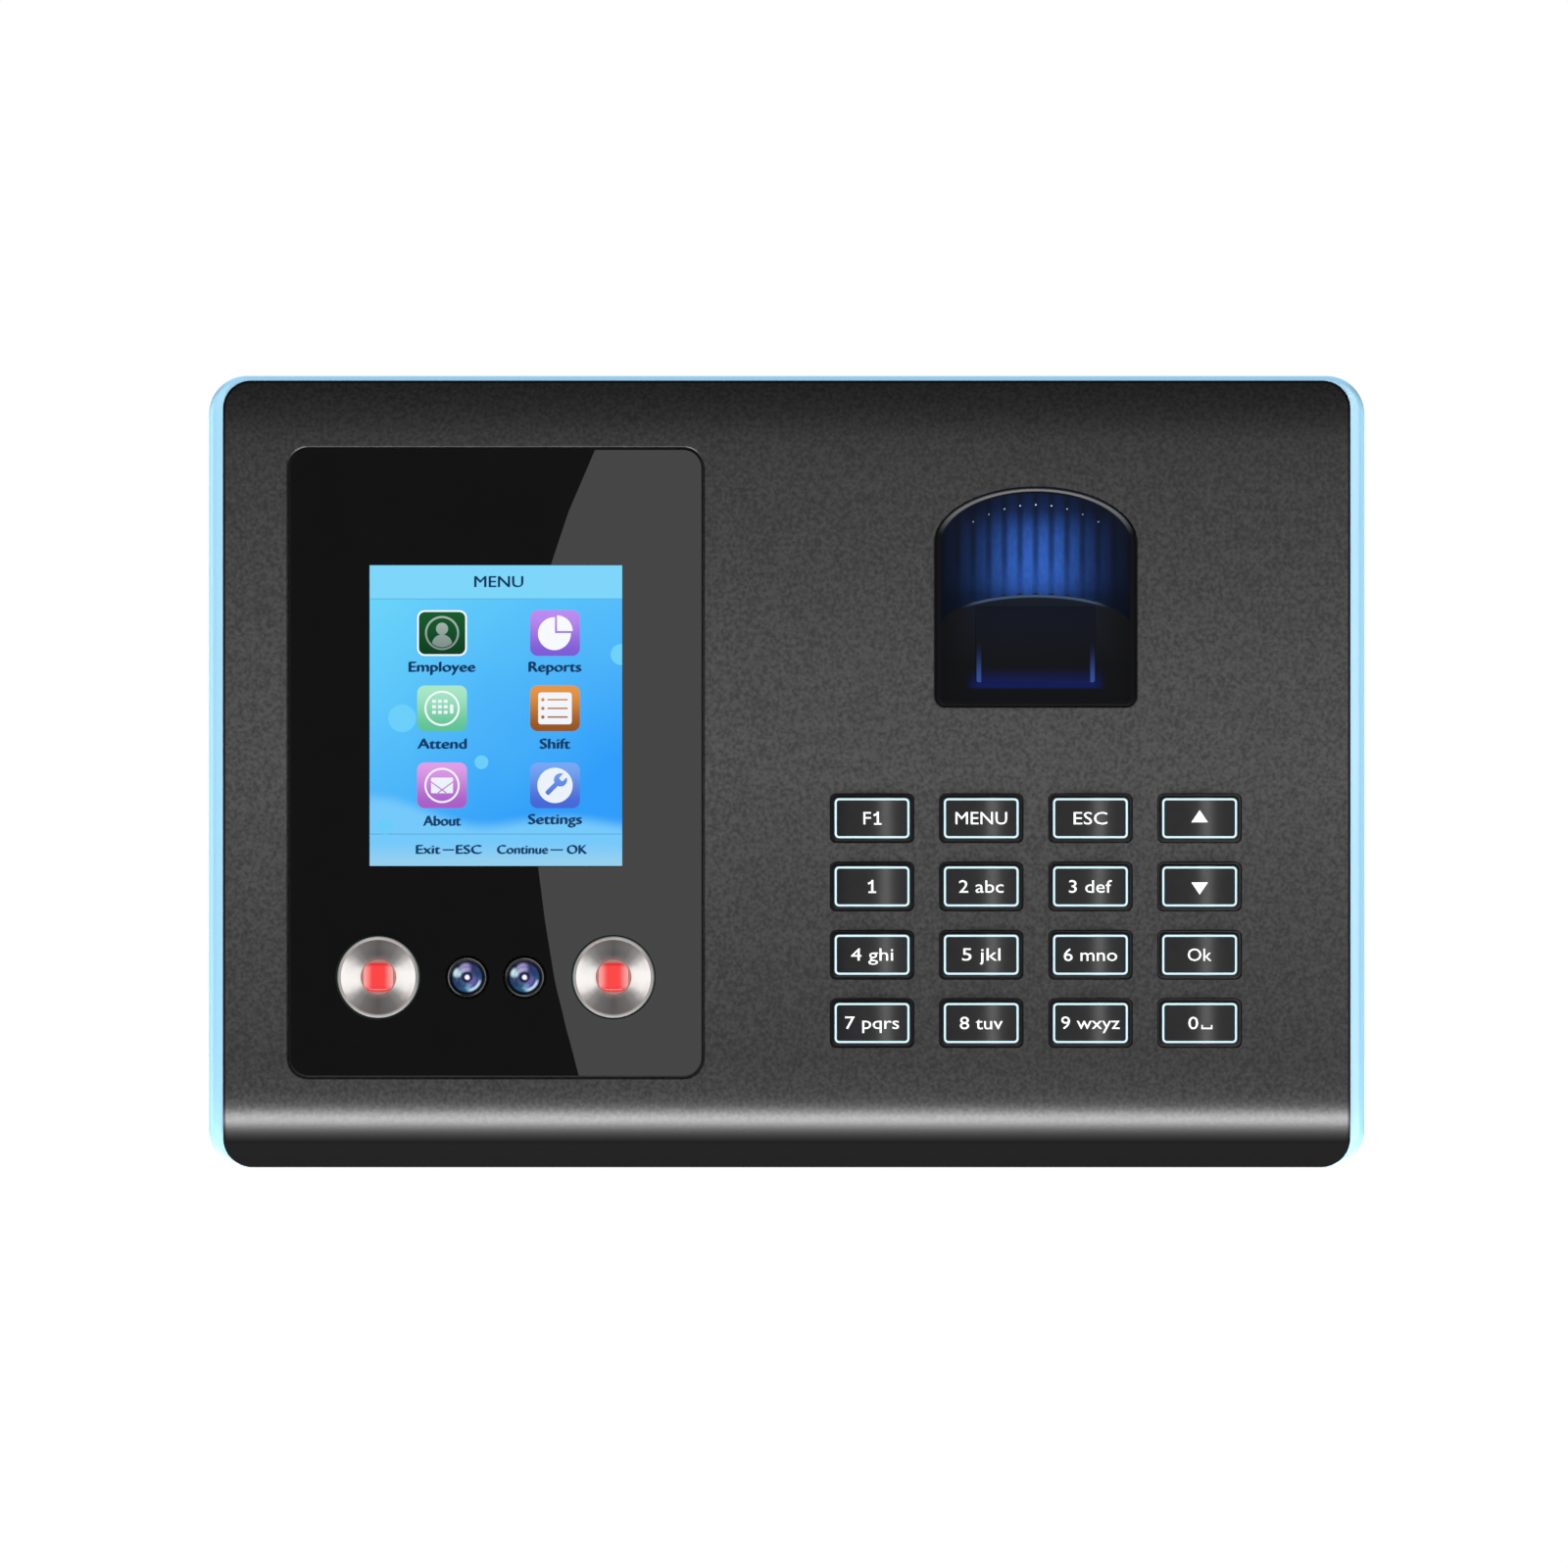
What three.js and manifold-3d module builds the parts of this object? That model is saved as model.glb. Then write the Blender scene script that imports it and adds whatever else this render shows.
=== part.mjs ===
// A wall-mounted attendance terminal that reads faces and fingerprints.
//
// Frame: millimetres, +X to the right as seen from the front, +Y into the wall, +Z up.
// The origin is on the wall, behind the middle of the case. A "depth" below is a distance
// from the wall, so a face at depth d lies at y = -d.

import * as THREE from "three";
import { mergeVertices } from "three/addons/utils/BufferGeometryUtils.js";
import Module from "manifold-3d";

const wasm = await Module();
wasm.setup();

// ---------------------------------------------------------------- driving dimensions, in mm

// Clearances
const SEAM = 0.3; // between two pieces that are fitted together
const SLIP = 0.3; // round a key in its hole
const PAST = 2; // how far a cutting tool runs past the face that it cuts

// The case, over the blue frame, which is its widest piece
const CASE_WIDTH = 200;
const CASE_HEIGHT = 137;
const CASE_DEPTH = 34;

// Front cover
const COVER_WALL = 2.4;
const COVER_SIDE_STEP = 2.7; // the blue frame stands out this far at each side of the cover
const COVER_TOP_STEP = 1;
const COVER_CORNER_R = 4.8;
const TOP_ROLL_R = 18; // the front rolls back towards the top edge
const TOP_ROLL_HEIGHT = 11;
const NOSE_R = 9.5; // and turns under at the bottom
const NOSE_HEIGHT = 13.4;

// Blue frame, which is clamped between the two covers
const FRAME_BACK = 4.6;
const FRAME_THICK = 6.4;
const FRAME_CORNER_R = 6.6;
const FRAME_SIDE_BAR = 5.2;
const FRAME_TOP_BAR = 3.6;
const FRAME_ROUND = 0.9; // chamfer round its outer edges

// Rear cover
const REAR_BACK = 2; // its back stands this far off the wall, clear of the wall plate
const REAR_FLOOR = 2.2;
const REAR_WALL = 2.2;
const REAR_TONGUE = 2.5; // how far its walls reach into the front cover
const REAR_FLANGE_INSET = 3;

// Wall plate, folded from sheet steel, and the four hooks that carry the terminal
const PLATE_THICK = 1.5;
const PLATE_WIDTH = 110;
const PLATE_HEIGHT = 95;
const PLATE_RAISE = -2.5; // height of its middle above the origin
const PLATE_CORNER_R = 5;
const PLATE_SCREW_R = 2.5;
const PLATE_SCREW_INSET_X = 8;
const PLATE_SCREW_INSET_Z = 7;
const HOOK_SPACING_X = 76;
const HOOK_TOP_Z = 30;
const HOOK_DROP = 46; // from the upper hooks down to the lower ones
const HOOK_WIDTH = 10;
const HOOK_REACH = 6; // how far a hook stands up behind the rear cover
const LIFT_TRAVEL = 8; // the terminal is raised this far to clear its hooks

// Window panel: a black acrylic sheet let into the front cover
const PANEL_WIDTH = 71.4;
const PANEL_HEIGHT = 108.4;
const PANEL_THICK = 1.5;
const PANEL_CORNER_R = 3.4;
const PANEL_LEFT_MARGIN = 14.1; // from the case's left edge
const PANEL_TOP_MARGIN = 12.8; // from the case's top edge
const PANEL_LEDGE = 1.5; // thickness of the floor that carries it
const PANEL_SINK = 0.1; // its face lies this far below the cover's

// Display behind the panel
const SCREEN_WIDTH = 43.6;
const SCREEN_HEIGHT = 51.9;
const SCREEN_DROP = 20.1; // from the panel's top edge to the top of the picture
const LCD_BORDER = 3.2;
const LCD_FRAME_THICK = 3;
const LCD_FRAME_WALL = 0.8;
const FLEX_THICK = 0.3;
const FLEX_WIDTH = 20;

// Infrared lamps and the pair of cameras, in one row under the display
const EYES_DROP = 91.2; // from the panel's top edge to the row
const LAMP_SPACING = 40.6;
const LAMP_R = 7;
const LAMP_RIM = 0.5;
const LAMP_PROUD = 0.3;
const LED_R = 2.5;
const CAMERA_SPACING = 9.9;
const CAMERA_R = 3.5;
const CAMERA_LENS_R = 2.7;
const CAMERA_BOARD_HEIGHT = 15;

// Fingerprint reader
const READER_WIDTH = 34.4;
const READER_HEIGHT = 37.5;
const READER_TOP_MARGIN = 19.6; // from the case's top edge
const READER_RIGHT_MARGIN = 57.01; // from the case's right edge to the reader's middle
const READER_ARCH_RISE = 9.3;
const READER_CORNER_R = 1.7;
const READER_RIM = 0.9;
const READER_DEPTH = 9; // from the front to the back of the finger recess
const READER_SILL = 3.4; // depth of the recess at its bottom edge
const READER_HOOD_HEIGHT = 17.5; // height that the hood above the finger comes down through
const READER_FLANGE = 1.8;
const READER_BLOCK_BACK = 20.5;
const PRISM_WIDTH = 19.6;
const PRISM_HEIGHT = 13.6;
const PRISM_THICK = 5;
const PRISM_RAISE = 3.2; // from the recess's bottom edge, along the floor

// Keypad
const KEY_COLUMNS = 4;
const KEY_ROWS = 4;
const KEY_PITCH_X = 18.84;
const KEY_PITCH_Z = 11.78;
const KEY_RIGHT_MARGIN = 28.75; // from the case's right edge to the last column's middle
const KEY_BOTTOM_MARGIN = 25.1; // from the case's bottom edge to the last row's middle
const KEY_WIDTH = 13.7;
const KEY_HEIGHT = 7.7;
const KEY_CORNER_R = 0.9;
const KEY_PROUD = 0.6;
const KEY_LIP = 0.9; // the lip under the cover that keeps a key in
const KEY_LIP_THICK = 0.8;
const MAT_THICK = 1;
const MAT_MARGIN = 3.2;
const DOME_HEIGHT = 1.6;
const DOME_INSET = 2; // from the key's edge
const BOARD_THICK = 1.6;

// Stakes, melted over after assembly, that hold the keypad and camera boards
const STAKE_R = 1.1;
const STAKE_SHOULDER_R = 1.7;
const STAKE_HEAD_R = 1.6;
const STAKE_HEAD_THICK = 0.7;
const STAKE_HOLE_R = 1.35;

// Case screws
const SCREW_INSET_X = 11.5;
const SCREW_TOP_INSET = 14.5;
const SCREW_BOTTOM_INSET = 18.5;
const SCREW_R = 1.4;
const SCREW_HEAD_R = 2.7;
const SCREW_HEAD_THICK = 2;
const SCREW_SINK = 0.6; // how far its head lies below the rear cover's back
const SCREW_LENGTH = 13;
const SCREW_HOLE_R = 1.7;
const BOSS_R = 3.2;
const BOSS_MEET = 12; // depth at which the two covers' bosses meet

// Screws that hold the main board to its standoffs
const BOARD_SCREW_R = 1.2;
const BOARD_SCREW_LENGTH = 7;
const BOARD_SCREW_HEAD = { r: 2.3, thick: 1.5 };

// Main board and what is on it
const MAIN_BOARD_BACK = 18.2;
const MAIN_BOARD_LEFT_MARGIN = 20;
const MAIN_BOARD_TOP_MARGIN = 18.5;
const MAIN_BOARD_READER_GAP = 4;
const BOARD_SCREW_INSET = 6;
const STANDOFF_R = 3;
const SHIELD_SIZE = 26;
const SHIELD_THICK = 2.8;

// Connector bay: a pocket in the back where the plugs go up into their sockets
const BAY_LEFT = -36;
const BAY_WIDTH = 52;
const BAY_HEIGHT = 29;
const BAY_BOTTOM_MARGIN = 8.5; // from the case's bottom edge
const BAY_FRONT = 19.8;
const BAY_WALL = 1.8;
const CHANNEL_WIDTH = 9.4; // the groove that leads a cable down to the bottom edge
const CHANNEL_DEPTH = 5;
const NETWORK_SOCKET = { width: 16, depth: 13.3, length: 21, x: -24 };
const USB_SOCKET = { width: 13.2, depth: 5.8, length: 14, x: -8.2 };
const POWER_SOCKET = { width: 9, depth: 11, length: 14, x: 4.6 };

// Battery, speaker and tamper switch
const BATTERY_WIDTH = 33;
const BATTERY_HEIGHT = 52;
const BATTERY_THICK = 8;
const BATTERY_LEFT_MARGIN = 18.5;
const BATTERY_RAISE = 8;
const RIB_THICK = 1.2;
const RIB_HEIGHT = 3;
const SPEAKER_R = 13.5;
const SPEAKER_THICK = 5.5;
const SPEAKER_X_MARGIN = 28;
const SPEAKER_Z = -32;
const GRILLE_SLOTS = 5;
const GRILLE_PITCH = 3.6;
const GRILLE_SLOT_HEIGHT = 1.6;
const LEAD_R = 0.9;
const TAMPER_X = 6;
const TAMPER_Z = 8;
const PLUNGER_R = 1.8;
const PLUNGER_TRAVEL = 0.8;
const TAMPER_SWITCH_SIZE = 6;
const TAMPER_SWITCH_THICK = 4;

// ---------------------------------------------------------------- places worked out from them

const left = -CASE_WIDTH / 2;
const right = CASE_WIDTH / 2;
const top = CASE_HEIGHT / 2;
const bottom = -CASE_HEIGHT / 2;
const front = CASE_DEPTH;
const frontInside = front - COVER_WALL;

const frameFront = FRAME_BACK + FRAME_THICK;
const coverRim = frameFront + SEAM;
const coverTop = top - COVER_TOP_STEP;
const rearFloorTop = REAR_BACK + REAR_FLOOR;
const screwSeat = REAR_BACK + SCREW_SINK + SCREW_HEAD_THICK;

const panelLeft = left + PANEL_LEFT_MARGIN;
const panelTop = top - PANEL_TOP_MARGIN;
const panelX = panelLeft + PANEL_WIDTH / 2;
const panelFront = front - PANEL_SINK;
const panelBack = panelFront - PANEL_THICK;
const panelSeat = panelBack - SEAM;
const ledgeBack = panelSeat - PANEL_LEDGE;
const screenTop = panelTop - SCREEN_DROP;
const lcdFront = ledgeBack - SEAM;
const lcdBack = lcdFront - LCD_FRAME_THICK;
const lcdBottom = screenTop - SCREEN_HEIGHT - LCD_BORDER;
const eyesZ = panelTop - EYES_DROP;
const cameraBoardFront = lcdBack - SEAM;
const cameraBoardBack = cameraBoardFront - BOARD_THICK;

const keypadRight = right - KEY_RIGHT_MARGIN;
const keypadX = keypadRight - ((KEY_COLUMNS - 1) * KEY_PITCH_X) / 2;
const keypadBottom = bottom + KEY_BOTTOM_MARGIN;
const keypadZ = keypadBottom + ((KEY_ROWS - 1) * KEY_PITCH_Z) / 2;
const keyLipFront = frontInside - SEAM;
const keyBack = keyLipFront - KEY_LIP_THICK;
const matFront = keyBack - SEAM - DOME_HEIGHT;
const matBack = matFront - MAT_THICK;
const keypadBoardFront = matBack;
const keypadBoardBack = keypadBoardFront - BOARD_THICK;
const matHalfWidth = ((KEY_COLUMNS - 1) * KEY_PITCH_X + KEY_WIDTH) / 2 + MAT_MARGIN;
const matHalfHeight = ((KEY_ROWS - 1) * KEY_PITCH_Z + KEY_HEIGHT) / 2 + MAT_MARGIN;

const readerX = right - READER_RIGHT_MARGIN;
const readerTop = top - READER_TOP_MARGIN;
const readerBottom = readerTop - READER_HEIGHT;
const readerBack = front - READER_DEPTH;

const bayBottom = bottom + BAY_BOTTOM_MARGIN;
const bayTop = bayBottom + BAY_HEIGHT;
const bayRight = BAY_LEFT + BAY_WIDTH;
const bayX = (BAY_LEFT + bayRight) / 2;
const mainBoardFront = MAIN_BOARD_BACK + BOARD_THICK;
const mainBoardLeft = left + MAIN_BOARD_LEFT_MARGIN;
const mainBoardRight = readerX - READER_WIDTH / 2 - MAIN_BOARD_READER_GAP;
const mainBoardTop = top - MAIN_BOARD_TOP_MARGIN;
const mainBoardBottom = bayTop + BAY_WALL + SEAM;
const speakerX = right - SPEAKER_X_MARGIN;

const hookXs = [-HOOK_SPACING_X / 2, HOOK_SPACING_X / 2];
const hookZs = [HOOK_TOP_Z, HOOK_TOP_Z - HOOK_DROP];

const screwPlaces = [];
for (const x of [left + SCREW_INSET_X, right - SCREW_INSET_X]) {
  const high = top - SCREW_TOP_INSET;
  const low = bottom + SCREW_BOTTOM_INSET;
  for (const z of [high, (high + low) / 2, low]) screwPlaces.push({ x, z });
}

// ---------------------------------------------------------------- shape helpers

// A closed geometry as a solid for joining and cutting.
function solid(geometry) {
  const bare = geometry.clone();
  for (const name of Object.keys(bare.attributes)) {
    if (name !== "position") bare.deleteAttribute(name);
  }
  const merged = mergeVertices(bare, 1e-4);
  const corners = merged.index.array;
  const faces = [];
  for (let i = 0; i < corners.length; i += 3) {
    const [a, b, c] = [corners[i], corners[i + 1], corners[i + 2]];
    if (a !== b && b !== c && c !== a) faces.push(a, b, c);
  }
  return new wasm.Manifold(
    new wasm.Mesh({
      numProp: 3,
      vertProperties: new Float32Array(merged.attributes.position.array),
      triVerts: new Uint32Array(faces),
    }),
  );
}

// A solid as a geometry that three.js can draw.
function geometryOf(manifold) {
  const mesh = manifold.getMesh();
  const geometry = new THREE.BufferGeometry();
  geometry.setAttribute("position", new THREE.BufferAttribute(mesh.vertProperties, 3));
  geometry.setIndex(new THREE.BufferAttribute(mesh.triVerts, 1));
  geometry.computeVertexNormals();
  return geometry;
}

// A rectangle with round corners, in the front view, from its low corner to its high one.
function roundedBox(x0, z0, x1, z1, r) {
  const outline = new THREE.Shape();
  outline.absarc(x1 - r, z1 - r, r, 0, Math.PI / 2);
  outline.absarc(x0 + r, z1 - r, r, Math.PI / 2, Math.PI);
  outline.absarc(x0 + r, z0 + r, r, Math.PI, Math.PI * 1.5);
  outline.absarc(x1 - r, z0 + r, r, Math.PI * 1.5, Math.PI * 2);
  return outline;
}

function box(x0, z0, x1, z1) {
  return new THREE.Shape([
    new THREE.Vector2(x0, z0),
    new THREE.Vector2(x1, z0),
    new THREE.Vector2(x1, z1),
    new THREE.Vector2(x0, z1),
  ]);
}

function circle(x, z, r, sides = 24) {
  const points = [];
  for (let i = 0; i < sides; i++) {
    const a = ((i + 0.5) / sides) * Math.PI * 2;
    points.push(new THREE.Vector2(x + r * Math.cos(a), z + r * Math.sin(a)));
  }
  return new THREE.Shape(points);
}

// An outline in the front view, made solid between two depths. Each quarter turn of the
// outline becomes twice as many flats as arcSteps.
function slab(outline, back, frontFace, arcSteps = 2) {
  const options = { depth: frontFace - back, bevelEnabled: false, curveSegments: arcSteps };
  const geometry = new THREE.ExtrudeGeometry(outline, options);
  geometry.rotateX(Math.PI / 2);
  geometry.translate(0, -back, 0);
  return solid(geometry);
}

// A side-view outline, given as [depth, height] points, made solid between two x values.
function bar(points, x0, x1) {
  const outline = new THREE.Shape(points.map(([d, z]) => new THREE.Vector2(-d, z)));
  const geometry = new THREE.ExtrudeGeometry(outline, { depth: x1 - x0, bevelEnabled: false });
  const sideways = new THREE.Matrix4().makeBasis(
    new THREE.Vector3(0, 1, 0),
    new THREE.Vector3(0, 0, 1),
    new THREE.Vector3(1, 0, 0),
  );
  geometry.applyMatrix4(sideways);
  geometry.translate(x0, 0, 0);
  return solid(geometry);
}

// A profile of [radius, depth] points turned about an axis that runs out of the wall.
function turned(profile, x, z, sides = 24) {
  const points = profile.map(([r, d]) => new THREE.Vector2(r, -d));
  if (THREE.ShapeUtils.area(points) < 0) points.reverse();
  const geometry = new THREE.LatheGeometry(points, sides);
  geometry.translate(x, 0, z);
  return solid(geometry);
}

function cylinder(x, z, r, back, frontFace, sides = 24) {
  return slab(circle(x, z, r, sides), back, frontFace);
}

// A flat strip that follows [depth, height] points in the side view, such as a flex cable.
function strip(points, thickness, x0, x1) {
  const middle = points.map(([d, z]) => new THREE.Vector2(d, z));
  const side = (sign) =>
    middle.map((p, i) => {
      const before = middle[Math.max(i - 1, 0)];
      const after = middle[Math.min(i + 1, middle.length - 1)];
      const along = after.clone().sub(before).normalize();
      const half = (sign * thickness) / 2;
      return [p.x - along.y * half, p.y + along.x * half];
    });
  const outline = [...side(1), ...side(-1).reverse()];
  const vectors = outline.map(([d, z]) => new THREE.Vector2(-d, z));
  if (THREE.ShapeUtils.area(vectors) < 0) outline.reverse();
  return bar(outline, x0, x1);
}

// A round lead through points given as [x, depth, height].
function lead(points, r, steps) {
  const path = new THREE.CatmullRomCurve3(points.map(([x, d, z]) => new THREE.Vector3(x, -d, z)));
  const section = circle(0, 0, r, 6);
  return solid(new THREE.ExtrudeGeometry(section, { steps, bevelEnabled: false, extrudePath: path }));
}

function join(pieces) {
  return pieces.reduce((whole, piece) => whole.add(piece));
}

function cut(whole, tools) {
  return tools.reduce((rest, tool) => rest.subtract(tool), whole);
}

// ---------------------------------------------------------------- materials

function material(color, roughness, metalness = 0) {
  return new THREE.MeshStandardMaterial({ color, roughness, metalness });
}

const coverPaint = material(0x3b3b3c, 0.45, 0.3);
const blueFrame = material(0xa6def8, 0.25);
const blackPlastic = material(0x1b1b1d, 0.5);
const steel = material(0xb4b6b8, 0.35, 0.9);
const panelAcrylic = material(0x141414, 0.06);
const lcdGlass = material(0x4dbdf5, 0.2);
const springSteel = material(0xc9c9c6, 0.25, 0.95);
const redLens = material(0xf23a3a, 0.3);
const cameraGlass = material(0x26324f, 0.04);
const readerBlack = material(0x0f1116, 0.2);
const prismGlass = material(0x1a2a80, 0.05);
const circuitGreen = material(0x1f5a37, 0.5);
const keyBlack = material(0x2a2a2c, 0.25);
const silicone = material(0xd9dcda, 0.7);
const batteryWrap = material(0x9aa4ad, 0.4);
const flexAmber = material(0xb07a2a, 0.4);
const redWire = material(0xb3221f, 0.5);

// ---------------------------------------------------------------- front cover

// The cover's side view, inset from its outer face: flat in front, rolled back at the top,
// and turned under at the bottom so that the underside runs straight to the rim.
function coverProfile(inset, rim) {
  const topR = TOP_ROLL_R - inset;
  const topCentre = { d: front - TOP_ROLL_R, z: coverTop - TOP_ROLL_HEIGHT };
  const noseR = NOSE_R - inset;
  const noseCentre = { d: front - NOSE_R, z: bottom + NOSE_HEIGHT };
  const highest = coverTop - inset;
  const topTurn = Math.asin(Math.min(1, (highest - topCentre.z) / topR));

  // The underside touches the nose where a line from the outer rim is tangent to it.
  const toRim = { d: coverRim - noseCentre.d, z: bottom - noseCentre.z };
  const reach = Math.hypot(toRim.d, toRim.z);
  const noseTurn = Math.atan2(toRim.z, toRim.d) + Math.acos(NOSE_R / reach);
  const touch = {
    d: noseCentre.d + noseR * Math.cos(noseTurn),
    z: noseCentre.z + noseR * Math.sin(noseTurn),
  };
  const run = (touch.d - rim) / -Math.sin(noseTurn);

  const points = [[rim, touch.z - run * Math.cos(noseTurn)]];
  const noseSteps = 6;
  for (let i = 0; i <= noseSteps; i++) {
    const a = noseTurn * (1 - i / noseSteps);
    points.push([noseCentre.d + noseR * Math.cos(a), noseCentre.z + noseR * Math.sin(a)]);
  }
  const topSteps = 5;
  for (let i = 0; i <= topSteps; i++) {
    const a = (topTurn * i) / topSteps;
    points.push([topCentre.d + topR * Math.cos(a), topCentre.z + topR * Math.sin(a)]);
  }
  points.push([rim, highest]);
  return points.reverse();
}

function coverOutline(inset) {
  const half = CASE_WIDTH / 2 - COVER_SIDE_STEP - inset;
  const r = Math.max(COVER_CORNER_R - inset, 1);
  return roundedBox(-half, bottom + inset, half, coverTop - inset, r);
}

function panelOutline(grow) {
  const r = PANEL_CORNER_R + grow;
  const low = panelTop - PANEL_HEIGHT;
  return roundedBox(panelLeft - grow, low - grow, panelLeft + PANEL_WIDTH + grow, panelTop + grow, r);
}

function screenOutline(grow) {
  const half = SCREEN_WIDTH / 2 + grow;
  return box(panelX - half, screenTop - SCREEN_HEIGHT - grow, panelX + half, screenTop + grow);
}

const lampXs = [panelX - LAMP_SPACING / 2, panelX + LAMP_SPACING / 2];
const cameraXs = [panelX - CAMERA_SPACING / 2, panelX + CAMERA_SPACING / 2];

// The reader's arch: a half ellipse on straight sides, with small round bottom corners.
function archOutline(inset, lowest = readerBottom) {
  const half = READER_WIDTH / 2 - inset;
  const spring = readerTop - READER_ARCH_RISE;
  const low = lowest + inset;
  const r = Math.max(READER_CORNER_R - inset, 0.4);
  const outline = new THREE.Shape();
  outline.absellipse(readerX, spring, half, READER_ARCH_RISE - inset, 0, Math.PI);
  outline.absarc(readerX - half + r, low + r, r, Math.PI, Math.PI * 1.5);
  outline.absarc(readerX + half - r, low + r, r, Math.PI * 1.5, Math.PI * 2);
  return outline;
}

function keyOutline(x, z, grow) {
  const halfWidth = KEY_WIDTH / 2 + grow;
  const halfHeight = KEY_HEIGHT / 2 + grow;
  const r = KEY_CORNER_R + Math.max(grow, 0) / 2;
  return roundedBox(x - halfWidth, z - halfHeight, x + halfWidth, z + halfHeight, r);
}

const keyNames = [
  ["key_f1", "key_menu", "key_esc", "key_up"],
  ["key_1", "key_2", "key_3", "key_down"],
  ["key_4", "key_5", "key_6", "key_ok"],
  ["key_7", "key_8", "key_9", "key_0"],
];
const keys = [];
for (let row = 0; row < KEY_ROWS; row++) {
  for (let column = 0; column < KEY_COLUMNS; column++) {
    keys.push({
      name: keyNames[row][column],
      x: keypadRight - (KEY_COLUMNS - 1 - column) * KEY_PITCH_X,
      z: keypadBottom + (KEY_ROWS - 1 - row) * KEY_PITCH_Z,
    });
  }
}

// Keypad stakes stand in the gaps between columns; camera-board stakes stand at its ends.
const keypadStakes = [];
for (const x of [keypadX - KEY_PITCH_X, keypadX + KEY_PITCH_X]) {
  for (const z of [keypadZ - KEY_PITCH_Z, keypadZ + KEY_PITCH_Z]) keypadStakes.push({ x, z });
}
const cameraBoardHalf = LAMP_SPACING / 2 + LAMP_R + 2 * STAKE_SHOULDER_R;
const cameraStakes = [-1, 1].map((side) => ({
  x: panelX + side * (cameraBoardHalf - STAKE_SHOULDER_R + SEAM),
  z: eyesZ,
}));

// A stake: a shouldered post from the cover that passes through a board and is melted over.
function stake({ x, z }, root, boardFront, boardBack) {
  const headTop = boardBack - SEAM;
  return join([
    cylinder(x, z, STAKE_SHOULDER_R, boardFront + SEAM, root, 8),
    cylinder(x, z, STAKE_R, headTop - STAKE_HEAD_THICK, boardFront + 2 * SEAM, 8),
    cylinder(x, z, STAKE_HEAD_R, headTop - STAKE_HEAD_THICK, headTop, 8),
  ]);
}

function frontCover() {
  const outer = bar(coverProfile(0, coverRim), left, right)
    .intersect(slab(coverOutline(0), coverRim, front + PAST));
  const inner = bar(coverProfile(COVER_WALL, coverRim - PAST), left, right)
    .intersect(slab(coverOutline(COVER_WALL), coverRim - PAST, front, 1));
  const shell = outer.subtract(inner);

  const added = [slab(panelOutline(2), ledgeBack, frontInside + SEAM)];
  for (const { x, z } of screwPlaces) {
    added.push(cylinder(x, z, BOSS_R, BOSS_MEET + SEAM, frontInside + SEAM, 10));
  }
  for (const place of keypadStakes) {
    added.push(stake(place, frontInside + SEAM, keypadBoardFront, keypadBoardBack));
  }
  for (const place of cameraStakes) {
    added.push(stake(place, ledgeBack + SEAM, cameraBoardFront, cameraBoardBack));
  }

  const tools = [
    slab(panelOutline(SEAM), panelSeat, front + PAST),
    slab(screenOutline(1), ledgeBack - PAST, front + PAST),
    slab(archOutline(-SEAM), frontInside - PAST, front + PAST, 6),
  ];
  for (const x of lampXs) {
    tools.push(cylinder(x, eyesZ, LAMP_R + SEAM, ledgeBack - PAST, front));
  }
  for (const x of cameraXs) {
    tools.push(cylinder(x, eyesZ, CAMERA_R + SEAM, ledgeBack - PAST, front, 16));
  }
  for (const { x, z } of keys) {
    tools.push(slab(keyOutline(x, z, SLIP), frontInside - SEAM, front + PAST, 1));
  }
  for (const { x, z } of screwPlaces) {
    tools.push(cylinder(x, z, SCREW_R + 0.15, BOSS_MEET - PAST, BOSS_MEET + SCREW_LENGTH, 8));
  }
  return cut(join([shell, ...added]), tools);
}

// ---------------------------------------------------------------- blue frame

function frameOutline(inset) {
  const half = CASE_WIDTH / 2 - inset;
  return roundedBox(-half, bottom + inset, half, top - inset, FRAME_CORNER_R - inset);
}

const frameHoleX = CASE_WIDTH / 2 - FRAME_SIDE_BAR;
const frameHoleZ = CASE_HEIGHT / 2 - FRAME_TOP_BAR;

// A ring with its outer edges chamfered, built as a full layer between two narrower ones.
function midFrame() {
  const shoulder = FRAME_ROUND;
  const layers = [
    slab(frameOutline(shoulder / 2), FRAME_BACK, frameFront),
    slab(frameOutline(0), FRAME_BACK + shoulder, frameFront - shoulder),
  ];
  const hole = roundedBox(-frameHoleX, -frameHoleZ, frameHoleX, frameHoleZ, COVER_CORNER_R);
  return join(layers).subtract(slab(hole, FRAME_BACK - PAST, frameFront + PAST));
}

// ---------------------------------------------------------------- rear cover

const rearX = frameHoleX - SEAM;
const rearZ = frameHoleZ - SEAM;

function hookSlot(x, z) {
  const half = HOOK_WIDTH / 2 + SEAM;
  const low = z - PLATE_THICK - LIFT_TRAVEL - SEAM;
  return slab(box(x - half, low, x + half, z + SEAM), REAR_BACK - PAST, rearFloorTop + PAST);
}

function socketHole(socket) {
  const half = socket.width / 2 + SEAM;
  const outline = box(socket.x - half, bayTop - PAST, socket.x + half, bayTop + BAY_WALL + PAST);
  return slab(outline, MAIN_BOARD_BACK - socket.depth - SEAM, MAIN_BOARD_BACK + SEAM);
}

const standoffs = [];
for (const x of [mainBoardLeft + BOARD_SCREW_INSET, mainBoardRight - BOARD_SCREW_INSET]) {
  for (const z of [mainBoardBottom + BOARD_SCREW_INSET, mainBoardTop - BOARD_SCREW_INSET]) {
    standoffs.push({ x, z });
  }
}
// Two opposite standoffs take screws, and the other two end in pins that locate the board.
const boardScrewPlaces = [standoffs[1], standoffs[2]];
const boardPinPlaces = [standoffs[0], standoffs[3]];

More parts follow.
